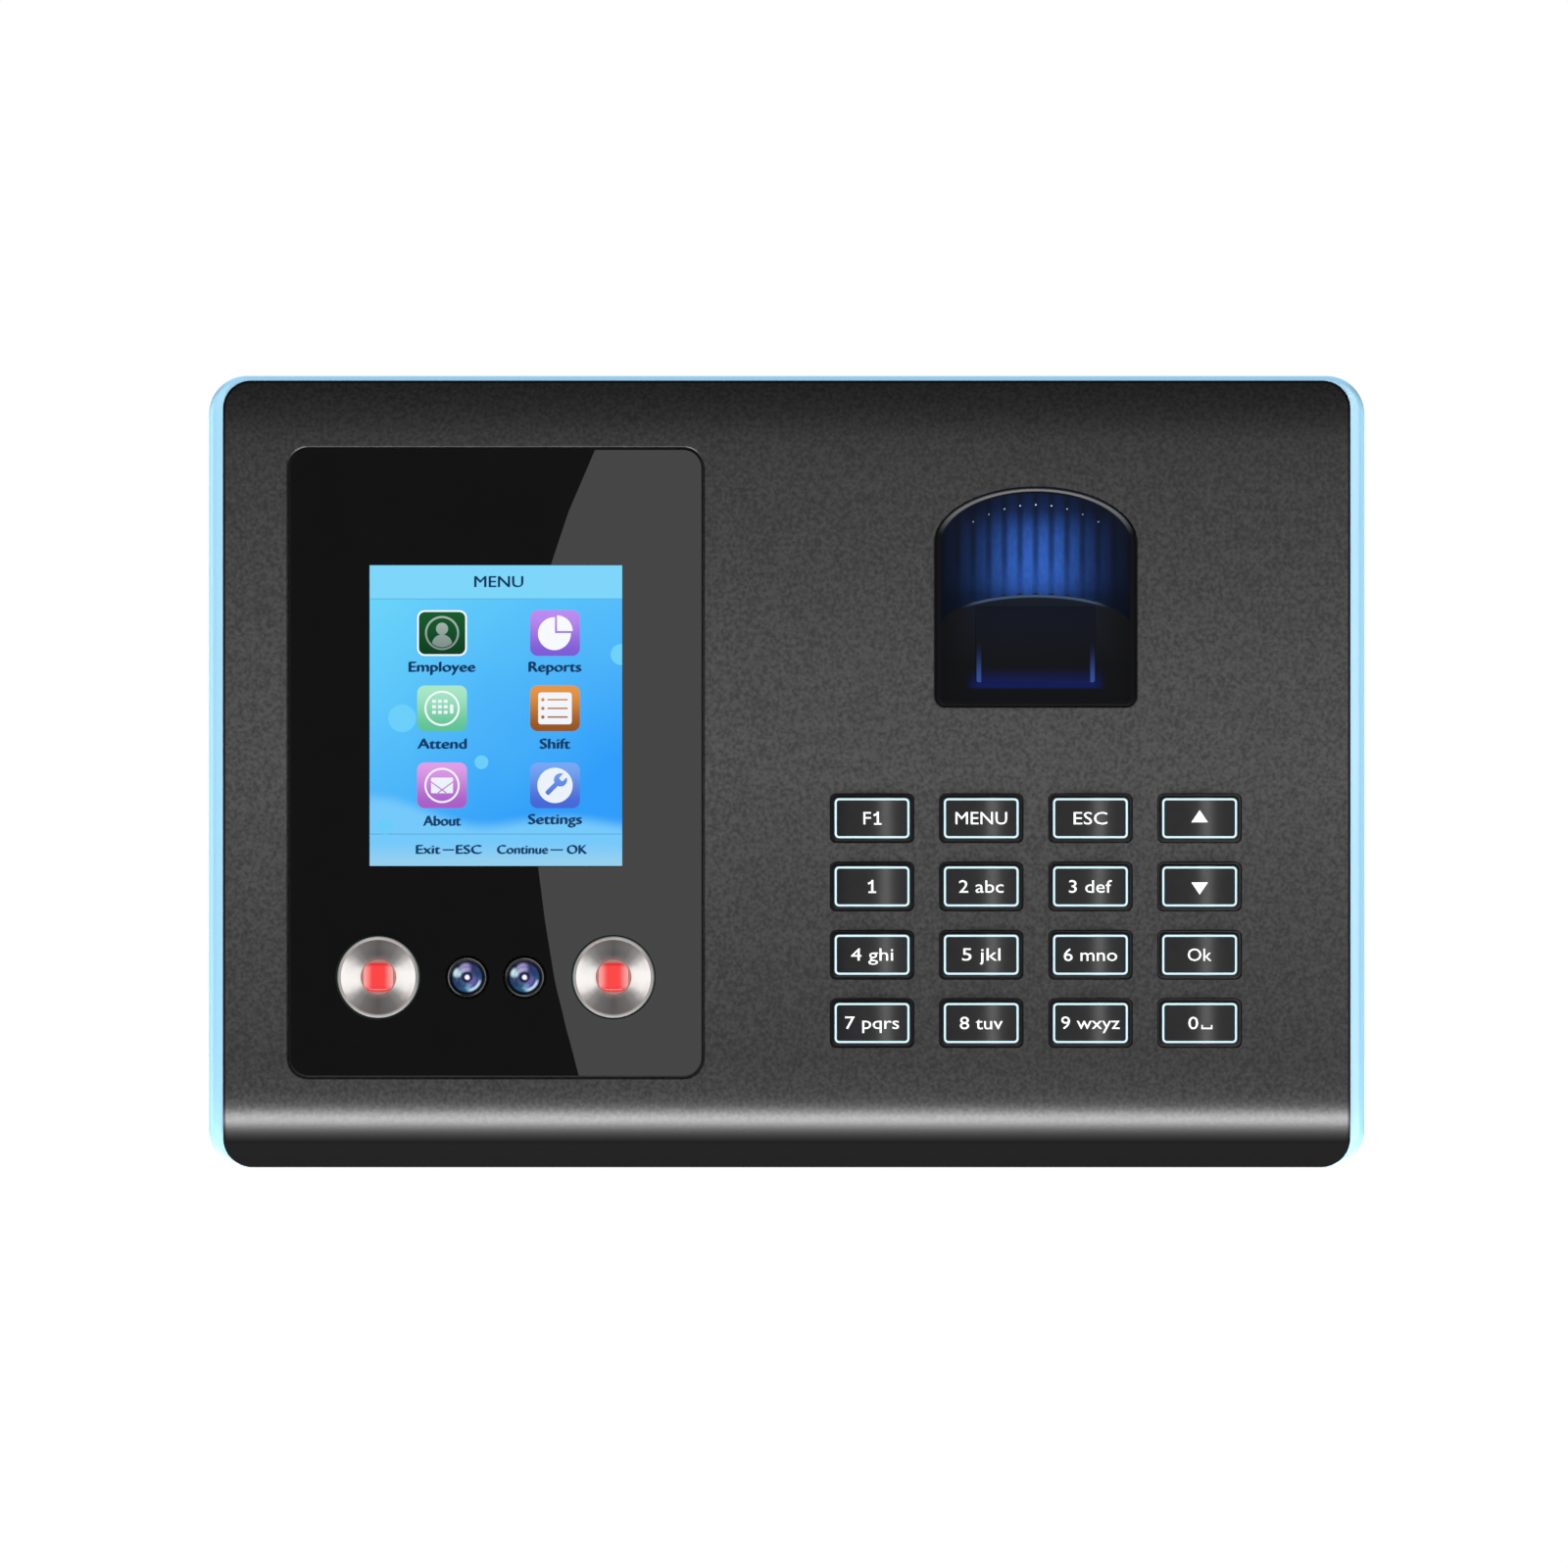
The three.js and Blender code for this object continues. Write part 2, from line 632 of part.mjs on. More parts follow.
// A low ring that the speaker drops into, over its grille.
function speakerRing() {
  const inner = SPEAKER_R + SEAM;
  const tall = rearFloorTop + RIB_HEIGHT;
  const ring = cylinder(speakerX, SPEAKER_Z, inner + RIB_THICK, REAR_BACK, tall, 20);
  return ring.subtract(cylinder(speakerX, SPEAKER_Z, inner, rearFloorTop, tall + PAST, 20));
}

// A rib along each long side of the battery, which is also taped to the floor.
function batteryRibs() {
  const half = BATTERY_HEIGHT / 4;
  const starts = [batteryLeft - SEAM - RIB_THICK, batteryLeft + BATTERY_WIDTH + SEAM];
  return starts.map((x) => {
    const outline = box(x, batteryZ - half, x + RIB_THICK, batteryZ + half);
    return slab(outline, REAR_BACK, rearFloorTop + RIB_HEIGHT);
  });
}

function rearCover() {
  const tongueFront = coverRim + REAR_TONGUE;
  const outline = (inset) =>
    roundedBox(-rearX + inset, -rearZ + inset, rearX - inset, rearZ - inset, COVER_CORNER_R - inset);
  const flangeX = CASE_WIDTH / 2 - REAR_FLANGE_INSET;
  const flangeZ = CASE_HEIGHT / 2 - REAR_FLANGE_INSET;
  const flange = roundedBox(-flangeX, -flangeZ, flangeX, flangeZ, COVER_CORNER_R);

  const added = [
    slab(flange, REAR_BACK, FRAME_BACK - SEAM),
    slab(outline(0), REAR_BACK, tongueFront, 1),
  ];
  const hollow = slab(outline(REAR_WALL), rearFloorTop, tongueFront + PAST, 1);
  const tray = join(added).subtract(hollow);

  const inside = [
    slab(
      box(BAY_LEFT - BAY_WALL, bayBottom - BAY_WALL, bayRight + BAY_WALL, bayTop + BAY_WALL),
      REAR_BACK,
      BAY_FRONT + BAY_WALL,
    ),
    cylinder(TAMPER_X, TAMPER_Z, PLUNGER_R + 2, REAR_BACK, tamperSleeveTop, 12),
    speakerRing(),
    ...batteryRibs(),
  ];
  for (const { x, z } of screwPlaces) {
    inside.push(cylinder(x, z, BOSS_R + 1, REAR_BACK, BOSS_MEET, 10));
  }
  for (const { x, z } of standoffs) {
    inside.push(cylinder(x, z, STANDOFF_R, REAR_BACK, MAIN_BOARD_BACK, 10));
  }
  for (const { x, z } of boardPinPlaces) {
    inside.push(cylinder(x, z, BOARD_SCREW_R, MAIN_BOARD_BACK - 1, mainBoardFront + 1, 8));
  }

  const tools = [
    slab(box(BAY_LEFT, bayBottom, bayRight, bayTop), REAR_BACK - PAST, BAY_FRONT),
    slab(
      box(bayX - CHANNEL_WIDTH / 2, bottom - PAST, bayX + CHANNEL_WIDTH / 2, bayBottom + PAST),
      REAR_BACK - PAST,
      REAR_BACK + CHANNEL_DEPTH,
    ),
    cylinder(TAMPER_X, TAMPER_Z, PLUNGER_R + SLIP, REAR_BACK - PAST, tamperSleeveTop + PAST, 12),
    ...[NETWORK_SOCKET, USB_SOCKET, POWER_SOCKET].map(socketHole),
  ];
  for (const x of hookXs) {
    for (const z of hookZs) tools.push(hookSlot(x, z));
  }
  for (const { x, z } of screwPlaces) {
    tools.push(
      cylinder(x, z, SCREW_HOLE_R, REAR_BACK - PAST, BOSS_MEET + PAST, 10),
      cylinder(x, z, SCREW_HEAD_R + SEAM, REAR_BACK - PAST, screwSeat, 12),
    );
  }
  for (const { x, z } of boardScrewPlaces) {
    const depth = BOARD_SCREW_LENGTH + 1;
    tools.push(cylinder(x, z, BOARD_SCREW_R + 0.1, MAIN_BOARD_BACK - depth, mainBoardFront, 8));
  }
  const grilleSpan = (GRILLE_SLOTS - 1) * GRILLE_PITCH;
  for (let i = 0; i < GRILLE_SLOTS; i++) {
    const z = SPEAKER_Z - grilleSpan / 2 + i * GRILLE_PITCH;
    const half = Math.sqrt(SPEAKER_R ** 2 - (z - SPEAKER_Z) ** 2) - 3;
    const outline = roundedBox(
      speakerX - half,
      z - GRILLE_SLOT_HEIGHT / 2,
      speakerX + half,
      z + GRILLE_SLOT_HEIGHT / 2,
      GRILLE_SLOT_HEIGHT / 2 - 0.01,
    );
    tools.push(slab(outline, REAR_BACK - PAST, rearFloorTop + PAST, 1));
  }
  return cut(join([tray, ...inside]), tools);
}

// ---------------------------------------------------------------- wall plate

function wallPlate() {
  const halfWidth = PLATE_WIDTH / 2;
  const high = PLATE_RAISE + PLATE_HEIGHT / 2;
  const low = PLATE_RAISE - PLATE_HEIGHT / 2;
  const sheet = slab(roundedBox(-halfWidth, low, halfWidth, high, PLATE_CORNER_R), 0, PLATE_THICK);

  const hooks = [];
  const windows = [slab(plateWindow(), -PAST, PLATE_THICK + PAST, 1)];
  const headBack = rearFloorTop + SEAM;
  const headFront = headBack + PLATE_THICK;
  for (const x of hookXs) {
    for (const z of hookZs) {
      const profile = [
        [0, z - PLATE_THICK],
        [headFront, z - PLATE_THICK],
        [headFront, z + HOOK_REACH],
        [headBack, z + HOOK_REACH],
        [headBack, z],
        [0, z],
      ];
      hooks.push(bar(profile.reverse(), x - HOOK_WIDTH / 2, x + HOOK_WIDTH / 2));
      // The hook is bent out of the sheet above it, which leaves a window.
      const half = HOOK_WIDTH / 2;
      const gap = box(x - half, z, x + half, z + HOOK_REACH + rearFloorTop);
      windows.push(slab(gap, -PAST, PLATE_THICK + PAST));
    }
  }
  for (const x of [-halfWidth + PLATE_SCREW_INSET_X, halfWidth - PLATE_SCREW_INSET_X]) {
    for (const z of [low + PLATE_SCREW_INSET_Z, high - PLATE_SCREW_INSET_Z]) {
      windows.push(cylinder(x, z, PLATE_SCREW_R, -PAST, PLATE_THICK + PAST, 16));
    }
  }
  return join([cut(sheet, windows), ...hooks]);
}

// The window that cables from the wall come through into the connector bay.
function plateWindow() {
  const low = PLATE_RAISE - PLATE_HEIGHT / 2 + 4;
  return roundedBox(BAY_LEFT + 2, low, bayRight - 2, low + 18, 2);
}

// ---------------------------------------------------------------- window panel and display

function panelGlass() {
  const holes = [
    ...lampXs.map((x) => cylinder(x, eyesZ, LAMP_R + SEAM, panelBack - PAST, front)),
    ...cameraXs.map((x) => cylinder(x, eyesZ, CAMERA_R + SEAM, panelBack - PAST, front, 16)),
  ];
  return cut(slab(panelOutline(0), panelBack, panelFront, 3), holes);
}

function lcdFrame() {
  const tray = slab(screenOutline(LCD_BORDER), lcdBack, lcdFront);
  return tray.subtract(slab(screenOutline(LCD_BORDER - LCD_FRAME_WALL), lcdBack + LCD_FRAME_WALL, front));
}

function lcdPanel() {
  const grow = LCD_BORDER - LCD_FRAME_WALL - SEAM;
  return slab(screenOutline(grow), lcdBack + LCD_FRAME_WALL + SEAM, lcdFront);
}

// The display's flex folds back under its frame and down to the front of the main board.
function lcdFlex() {
  const start = lcdBack - SEAM;
  const end = mainBoardFront + SEAM + FLEX_THICK / 2;
  const drop = lcdBottom + 6;
  const route = [
    [start - FLEX_THICK / 2, drop + 8],
    [start - FLEX_THICK / 2, drop + 2],
    [start - 1.2, drop],
    [end + 1.2, drop - 1],
    [end, drop + 1],
    [end, drop + 7],
  ];
  return strip(route, FLEX_THICK, panelX - FLEX_WIDTH / 2, panelX + FLEX_WIDTH / 2);
}

// ---------------------------------------------------------------- lamps and cameras

const lampFront = front + LAMP_PROUD;
const lampBack = cameraBoardFront + SEAM;
const lampFocus = lampFront - 5.2;

function lampReflector(x) {
  const throat = LED_R + SLIP;
  const profile = [
    [throat, lampBack],
    [LAMP_R, lampBack],
    [LAMP_R, lampFront],
    [LAMP_R - LAMP_RIM, lampFront],
    [LAMP_R - LAMP_RIM, lampFront - 0.4],
    [throat, lampFocus],
    [throat, lampBack],
  ];
  return turned(profile, x, eyesZ, 24);
}

// A round-nosed infrared LED standing on the camera board.
function lampLed(x) {
  const domeCentre = lampFront - 1.4 - LED_R;
  const profile = [[0, cameraBoardFront], [LED_R, cameraBoardFront]];
  const domeSteps = 3;
  for (let i = 0; i <= domeSteps; i++) {
    const a = (Math.PI / 2) * (i / domeSteps);
    profile.push([LED_R * Math.cos(a), domeCentre + LED_R * Math.sin(a)]);
  }
  profile[profile.length - 1][0] = 0;
  return turned(profile, x, eyesZ, 12);
}

const cameraFront = panelFront - 0.1;
const lensSeat = cameraFront - 2.6;

function cameraBarrel(x) {
  const bore = CAMERA_LENS_R + 0.15;
  const profile = [
    [0, cameraBoardFront],
    [CAMERA_R, cameraBoardFront],
    [CAMERA_R, cameraFront - 0.3],
    [CAMERA_R - 0.3, cameraFront],
    [bore + 0.25, cameraFront],
    [bore, cameraFront - 0.5],
    [bore, lensSeat],
    [0, lensSeat],
  ];
  return turned(profile, x, eyesZ, 16);
}

function cameraLens(x) {
  const edge = lensSeat + 1.2;
  const profile = [[0, lensSeat], [CAMERA_LENS_R, lensSeat], [CAMERA_LENS_R, edge]];
  const crown = 0.9;
  for (const share of [0.67, 0.33, 0]) {
    profile.push([CAMERA_LENS_R * share, edge + crown * (1 - share ** 2)]);
  }
  return turned(profile, x, eyesZ, 16);
}

function cameraBoard() {
  const half = cameraBoardHalf + SEAM;
  const halfHeight = CAMERA_BOARD_HEIGHT / 2;
  const outline = roundedBox(panelX - half, eyesZ - halfHeight, panelX + half, eyesZ + halfHeight, 1);
  const holes = cameraStakes.map(({ x, z }) =>
    cylinder(x, z, STAKE_HOLE_R, cameraBoardBack - PAST, cameraBoardFront + PAST, 8),
  );
  return cut(slab(outline, cameraBoardBack, cameraBoardFront, 1), holes);
}

// ---------------------------------------------------------------- fingerprint reader

// The recess's floor rises from the back of the hood to a sill at the bottom edge.
const floorLow = { d: front - READER_SILL, z: readerBottom + READER_RIM };
const floorHigh = { d: readerBack, z: readerTop - READER_RIM - READER_HOOD_HEIGHT };
const floorSlope = (floorLow.d - floorHigh.d) / (floorHigh.z - floorLow.z);
const floorTilt = Math.atan(floorSlope);

// Puts a solid that was made on the xy plane, with +z out of it, on the recess's floor,
// with its own origin a given way up the floor.
function onReaderFloor(geometry, up) {
  const out = new THREE.Vector3(0, -Math.cos(floorTilt), Math.sin(floorTilt));
  const across = new THREE.Vector3(1, 0, 0);
  const along = new THREE.Vector3().crossVectors(out, across);
  const place = new THREE.Matrix4().makeBasis(across, along, out);
  const start = new THREE.Vector3(readerX, -floorLow.d, floorLow.z).addScaledVector(along, up);
  geometry.applyMatrix4(place.setPosition(start));
  return solid(geometry);
}

function prismBlock(grow, proud) {
  const width = PRISM_WIDTH + 2 * grow;
  const height = PRISM_HEIGHT + 2 * grow;
  const thick = PRISM_THICK + proud;
  const block = new THREE.BoxGeometry(width, height, thick);
  block.translate(0, 0, proud - thick / 2);
  return onReaderFloor(block, PRISM_RAISE + PRISM_HEIGHT / 2);
}

// The arch pushed back into the case and down, which makes the hood over the finger.
function fingerRecess() {
  const tall = archOutline(READER_RIM, readerBottom - READER_HEIGHT);
  const shape = slab(tall, readerBack - 8, front + PAST, 8);
  const slope = READER_HOOD_HEIGHT / READER_DEPTH;
  const faces = shape.getMesh();
  const points = faces.vertProperties;
  for (let i = 0; i < points.length; i += 3) {
    points[i + 2] -= slope * (front + points[i + 1]);
  }
  const sheared = new wasm.Manifold(faces);
  const beyond = 30;
  const clear = bar(
    [
      [floorLow.d, floorLow.z],
      [floorLow.d - beyond * floorSlope, floorLow.z + beyond],
      [front + 2 * PAST, floorLow.z + beyond],
      [front + 2 * PAST, floorLow.z],
    ].reverse(),
    readerX - READER_WIDTH,
    readerX + READER_WIDTH,
  );
  const hood = slab(archOutline(READER_RIM), readerBack - 8, front + 2 * PAST, 8);
  return sheared.intersect(clear).intersect(hood);
}

function readerBezel() {
  const flange = slab(archOutline(-READER_FLANGE), keyBack, keyLipFront, 6);
  const body = slab(archOutline(0), READER_BLOCK_BACK, front, 8);
  return join([body, flange]).subtract(fingerRecess()).subtract(prismBlock(SEAM, PAST));
}

function readerPrism() {
  const behind = slab(archOutline(0), READER_BLOCK_BACK, front);
  return prismBlock(0, 0.2).intersect(behind);
}

const housingFront = READER_BLOCK_BACK - SEAM;
const housingBack = housingFront - 7;

function readerHousing() {
  const outline = (inset) =>
    roundedBox(
      readerX - READER_WIDTH / 2 + inset,
      readerBottom + inset,
      readerX + READER_WIDTH / 2 - inset,
      readerTop - READER_ARCH_RISE + 2 - inset,
      2,
    );
  const cavity = slab(outline(2.2), housingBack - PAST, housingFront - 1.5, 1);
  return slab(outline(0.8), housingBack, housingFront, 1).subtract(cavity);
}

function readerBoard() {
  const boardFront = housingBack - SEAM;
  const outline = roundedBox(
    readerX - READER_WIDTH / 2 + 0.8,
    readerBottom + 0.8,
    readerX + READER_WIDTH / 2 - 0.8,
    readerTop - READER_ARCH_RISE + 1.2,
    2,
  );
  return slab(outline, boardFront - BOARD_THICK, boardFront, 1);
}

// ---------------------------------------------------------------- keypad

function keyCap({ x, z }) {
  const halfWidth = KEY_WIDTH / 2 + KEY_LIP;
  const halfHeight = KEY_HEIGHT / 2 + KEY_LIP;
  const lip = box(x - halfWidth, z - halfHeight, x + halfWidth, z + halfHeight);
  return join([
    slab(keyOutline(x, z, 0), keyBack, front + KEY_PROUD, 1),
    slab(lip, keyBack, keyLipFront),
  ]);
}

function matOutline() {
  return roundedBox(
    keypadX - matHalfWidth,
    keypadZ - matHalfHeight,
    keypadX + matHalfWidth,
    keypadZ + matHalfHeight,
    2,
  );
}

function stakeHoles(r, back, frontFace) {
  return keypadStakes.map(({ x, z }) => cylinder(x, z, r, back - PAST, frontFace + PAST, 8));
}

// One silicone sheet with a dome under each key.
function keypadMat() {
  const sheet = slab(matOutline(), matBack, matFront, 1);
  const halfWidth = KEY_WIDTH / 2 - DOME_INSET;
  const halfHeight = KEY_HEIGHT / 2 - DOME_INSET;
  const domes = keys.map(({ x, z }) => {
    const outline = box(x - halfWidth, z - halfHeight, x + halfWidth, z + halfHeight);
    return slab(outline, matFront - MAT_THICK / 2, matFront + DOME_HEIGHT);
  });
  return cut(join([sheet, ...domes]), stakeHoles(STAKE_SHOULDER_R + SEAM, matBack, matFront));
}

function keypadBoard() {
  const board = slab(matOutline(), keypadBoardBack, keypadBoardFront, 1);
  return cut(board, stakeHoles(STAKE_HOLE_R, keypadBoardBack, keypadBoardFront));
}

// ---------------------------------------------------------------- main board and sockets

function mainBoard() {
  const outline = roundedBox(mainBoardLeft, mainBoardBottom, mainBoardRight, mainBoardTop, 1.5);
  const holes = standoffs.map(({ x, z }) =>
    cylinder(x, z, BOARD_SCREW_R + SEAM, MAIN_BOARD_BACK - PAST, mainBoardFront + PAST, 8),
  );
  return cut(slab(outline, MAIN_BOARD_BACK, mainBoardFront, 1), holes);
}

function shieldCan() {
  const x = (mainBoardLeft + mainBoardRight) / 2;
  const z = mainBoardTop - SHIELD_SIZE / 2 - 8;
  const half = SHIELD_SIZE / 2;
  const outline = roundedBox(x - half, z - half, x + half, z + half, 1);
  return slab(outline, mainBoardFront, mainBoardFront + SHIELD_THICK, 1);
}

// A socket's block, which hangs from the main board with its mouth facing down.
function socketBlock({ x, width, depth, length }) {
  const outline = box(x - width / 2, bayTop, x + width / 2, bayTop + length);
  return slab(outline, MAIN_BOARD_BACK - depth, MAIN_BOARD_BACK);
}

const NETWORK_PORT = { width: 11.8, depth: 8.2, reach: 15 };
const NETWORK_LATCH = { width: 6, depth: 1.6 };

function networkSocket() {
  const { x, depth } = NETWORK_SOCKET;
  const middle = MAIN_BOARD_BACK - depth / 2;
  const portBack = middle - NETWORK_PORT.depth / 2;
  const portFront = middle + NETWORK_PORT.depth / 2;
  const end = bayTop + NETWORK_PORT.reach;
  const mouth = (width) => box(x - width / 2, bayTop - PAST, x + width / 2, end);
  const port = slab(mouth(NETWORK_PORT.width), portBack, portFront);
  const latch = slab(mouth(NETWORK_LATCH.width), portBack - NETWORK_LATCH.depth, middle);
  return cut(socketBlock(NETWORK_SOCKET), [port, latch]);
}

// A shell with a tongue down its middle.
function usbSocket() {
  const { x, width, depth, length } = USB_SOCKET;
  const shell = 0.4;
  const tongueThick = 1.8;
  const backWall = 2;
  const hollow = slab(
    box(x - width / 2 + shell, bayTop - PAST, x + width / 2 - shell, bayTop + length - backWall),
    MAIN_BOARD_BACK - depth + shell,
    MAIN_BOARD_BACK - shell,
  );
  const tongueMiddle = MAIN_BOARD_BACK - depth / 2 + 0.8;
  const tongue = slab(
    box(x - width / 2 + 1.2, bayTop + 1, x + width / 2 - 1.2, bayTop + length - backWall / 2),
    tongueMiddle - tongueThick / 2,
    tongueMiddle + tongueThick / 2,
  );
  return join([socketBlock(USB_SOCKET).subtract(hollow), tongue]);
}

// A cylinder that stands up from a height, for the power socket's bore and pin.
function upright(x, d, r, z0, z1, sides) {
  const geometry = new THREE.CylinderGeometry(r, r, z1 - z0, sides);
  geometry.rotateX(Math.PI / 2);
  geometry.translate(x, -d, (z0 + z1) / 2);
  return solid(geometry);
}

function powerSocket() {
  const { x, depth, length } = POWER_SOCKET;
  const axis = MAIN_BOARD_BACK - depth / 2;
  const boreEnd = bayTop + length - 3;
  const bore = upright(x, axis, 3.2, bayTop - PAST, boreEnd, 16);
  const pin = upright(x, axis, 1, bayTop + 2, boreEnd + 1, 8);
  return join([socketBlock(POWER_SOCKET).subtract(bore), pin]);
}

// ---------------------------------------------------------------- battery, speaker, tamper switch

const batteryLeft = left + BATTERY_LEFT_MARGIN;
const batteryBack = rearFloorTop + SEAM;
const batteryZ = BATTERY_RAISE;

function battery() {
  const low = batteryZ - BATTERY_HEIGHT / 2;
  const high = batteryZ + BATTERY_HEIGHT / 2;
  const outline = roundedBox(batteryLeft, low, batteryLeft + BATTERY_WIDTH, high, 2.5);
  return slab(outline, batteryBack, batteryBack + BATTERY_THICK, 1);
}

function batteryLead() {
  const x = batteryLeft + BATTERY_WIDTH - 4;
  const z = batteryZ + BATTERY_HEIGHT / 2;
  const d = batteryBack + BATTERY_THICK / 2;
  const points = [
    [x, d, z + SEAM],
    [x, d, z + 3],
    [x + 3, d + 2, z + 6],
    [x + 6, MAIN_BOARD_BACK - 3, z + 6],
    [x + 6, MAIN_BOARD_BACK - SEAM, z + 6],
  ];
  return lead(points, LEAD_R, 10);
}

// The speaker's cone faces the grille in the back of the rear cover.
function speaker() {
  const back = rearFloorTop + SEAM;
  const profile = [
    [0, back + SPEAKER_THICK],
    [SPEAKER_R * 0.55, back + SPEAKER_THICK],
    [SPEAKER_R * 0.6, back + 2.4],
    [SPEAKER_R, back + 1.6],
    [SPEAKER_R, back],
    [SPEAKER_R - 1.2, back],
    [SPEAKER_R * 0.35, back + 1.8],
    [0, back + 1.2],
  ];
  return turned(profile, speakerX, SPEAKER_Z, 20);
}

function speakerLead() {
  const start = speakerX - SPEAKER_R * 0.45;
  const startDepth = rearFloorTop + SEAM + SPEAKER_THICK + SEAM;
  const end = mainBoardRight - 4;
  const endZ = mainBoardBottom + 16;
  const points = [
    [start, startDepth, SPEAKER_Z],
    [start - 1, startDepth + 2.5, SPEAKER_Z],
    [start - 8, startDepth + 3.5, SPEAKER_Z + 3],
    [(start + end) / 2, startDepth + 4, (SPEAKER_Z + endZ) / 2],
    [end + 3, MAIN_BOARD_BACK - 3.5, endZ],
    [end, MAIN_BOARD_BACK - 2, endZ],
    [end - 0.5, MAIN_BOARD_BACK - SEAM, endZ],
  ];
  return lead(points, LEAD_R, 16);
}

const tamperSwitchBack = MAIN_BOARD_BACK - TAMPER_SWITCH_THICK;
const collarThick = 1;
const collarFront = tamperSwitchBack - PLUNGER_TRAVEL - 0.1;
const tamperSleeveTop = collarFront - collarThick - SEAM;

// Rests against the wall plate, and is pushed in onto its switch.
function tamperPlunger() {
  const tip = PLATE_THICK + SEAM;
  return join([
    cylinder(TAMPER_X, TAMPER_Z, PLUNGER_R, tip, collarFront, 12),
    cylinder(TAMPER_X, TAMPER_Z, PLUNGER_R + 1.2, collarFront - collarThick, collarFront, 12),
  ]);
}

function tamperSwitch() {
  const half = TAMPER_SWITCH_SIZE / 2;
  const outline = box(TAMPER_X - half, TAMPER_Z - half, TAMPER_X + half, TAMPER_Z + half);
  return slab(outline, tamperSwitchBack, MAIN_BOARD_BACK);
}

// ---------------------------------------------------------------- fasteners

// A pan-head screw with a cross recess, driven in from the back.
function caseScrew({ x, z }) {
  const headFront = screwSeat - 0.1;
  const headBack = headFront - SCREW_HEAD_THICK;
  const head = cylinder(x, z, SCREW_HEAD_R, headBack, headFront, 12);
  const shank = cylinder(x, z, SCREW_R, headFront - 0.5, headFront + SCREW_LENGTH, 8);
  return cut(join([head, shank]), crossRecess(x, z, SCREW_HEAD_R, headBack - PAST, headBack + 1));
}

function crossRecess(x, z, headR, back, frontFace) {
  const long = headR * 0.6;
  const short = headR * 0.14;
  return [
    slab(box(x - long, z - short, x + long, z + short), back, frontFace),
    slab(box(x - short, z - long, x + short, z + long), back, frontFace),
  ];
}

function boardScrew({ x, z }) {
  const headBack = mainBoardFront + 0.1;
  const headFront = headBack + BOARD_SCREW_HEAD.thick;
  const head = cylinder(x, z, BOARD_SCREW_HEAD.r, headBack, headFront, 12);
  const shank = cylinder(x, z, BOARD_SCREW_R, MAIN_BOARD_BACK - BOARD_SCREW_LENGTH, headBack + 0.5, 8);
  return cut(join([head, shank]), crossRecess(x, z, BOARD_SCREW_HEAD.r, headFront - 0.8, headFront + PAST));
}

// ---------------------------------------------------------------- the assembly

const bracket = new THREE.Group();
const terminal = new THREE.Group();

function place(group, name, manifold, finish) {
  const mesh = new THREE.Mesh(geometryOf(manifold), finish);
  mesh.name = name;
  group.add(mesh);
}

place(bracket, "wall_plate", wallPlate(), steel);

place(terminal, "front_cover", frontCover(), coverPaint);
place(terminal, "mid_frame", midFrame(), blueFrame);
place(terminal, "rear_cover", rearCover(), blackPlastic);

place(terminal, "panel_glass", panelGlass(), panelAcrylic);
place(terminal, "lcd_frame", lcdFrame(), steel);
place(terminal, "lcd_panel", lcdPanel(), lcdGlass);
place(terminal, "lcd_flex", lcdFlex(), flexAmber);

["left", "right"].forEach((side, i) => {
  place(terminal, `lamp_reflector_${side}`, lampReflector(lampXs[i]), springSteel);
  place(terminal, `lamp_led_${side}`, lampLed(lampXs[i]), redLens);
  place(terminal, `camera_barrel_${side}`, cameraBarrel(cameraXs[i]), blackPlastic);
  place(terminal, `camera_lens_${side}`, cameraLens(cameraXs[i]), cameraGlass);
});
place(terminal, "camera_board", cameraBoard(), circuitGreen);

place(terminal, "reader_bezel", readerBezel(), readerBlack);
place(terminal, "reader_prism", readerPrism(), prismGlass);
place(terminal, "reader_housing", readerHousing(), blackPlastic);
place(terminal, "reader_board", readerBoard(), circuitGreen);

for (const key of keys) place(terminal, key.name, keyCap(key), keyBlack);
place(terminal, "keypad_mat", keypadMat(), silicone);
place(terminal, "keypad_board", keypadBoard(), circuitGreen);

place(terminal, "main_board", mainBoard(), circuitGreen);
place(terminal, "shield_can", shieldCan(), steel);
place(terminal, "network_socket", networkSocket(), blackPlastic);
place(terminal, "usb_socket", usbSocket(), steel);
place(terminal, "power_socket", powerSocket(), blackPlastic);

place(terminal, "battery", battery(), batteryWrap);
place(terminal, "battery_lead", batteryLead(), redWire);
place(terminal, "speaker", speaker(), blackPlastic);
place(terminal, "speaker_lead", speakerLead(), redWire);
place(terminal, "tamper_plunger", tamperPlunger(), silicone);
place(terminal, "tamper_switch", tamperSwitch(), blackPlastic);

screwPlaces.forEach((at, i) => place(terminal, `case_screw_${i + 1}`, caseScrew(at), steel));
boardScrewPlaces.forEach((at, i) => place(terminal, `board_screw_${i + 1}`, boardScrew(at), steel));

const assembly = new THREE.Group();
assembly.add(bracket, terminal);

export default assembly;
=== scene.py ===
import math

import bmesh
import bpy
from mathutils import Matrix, Vector


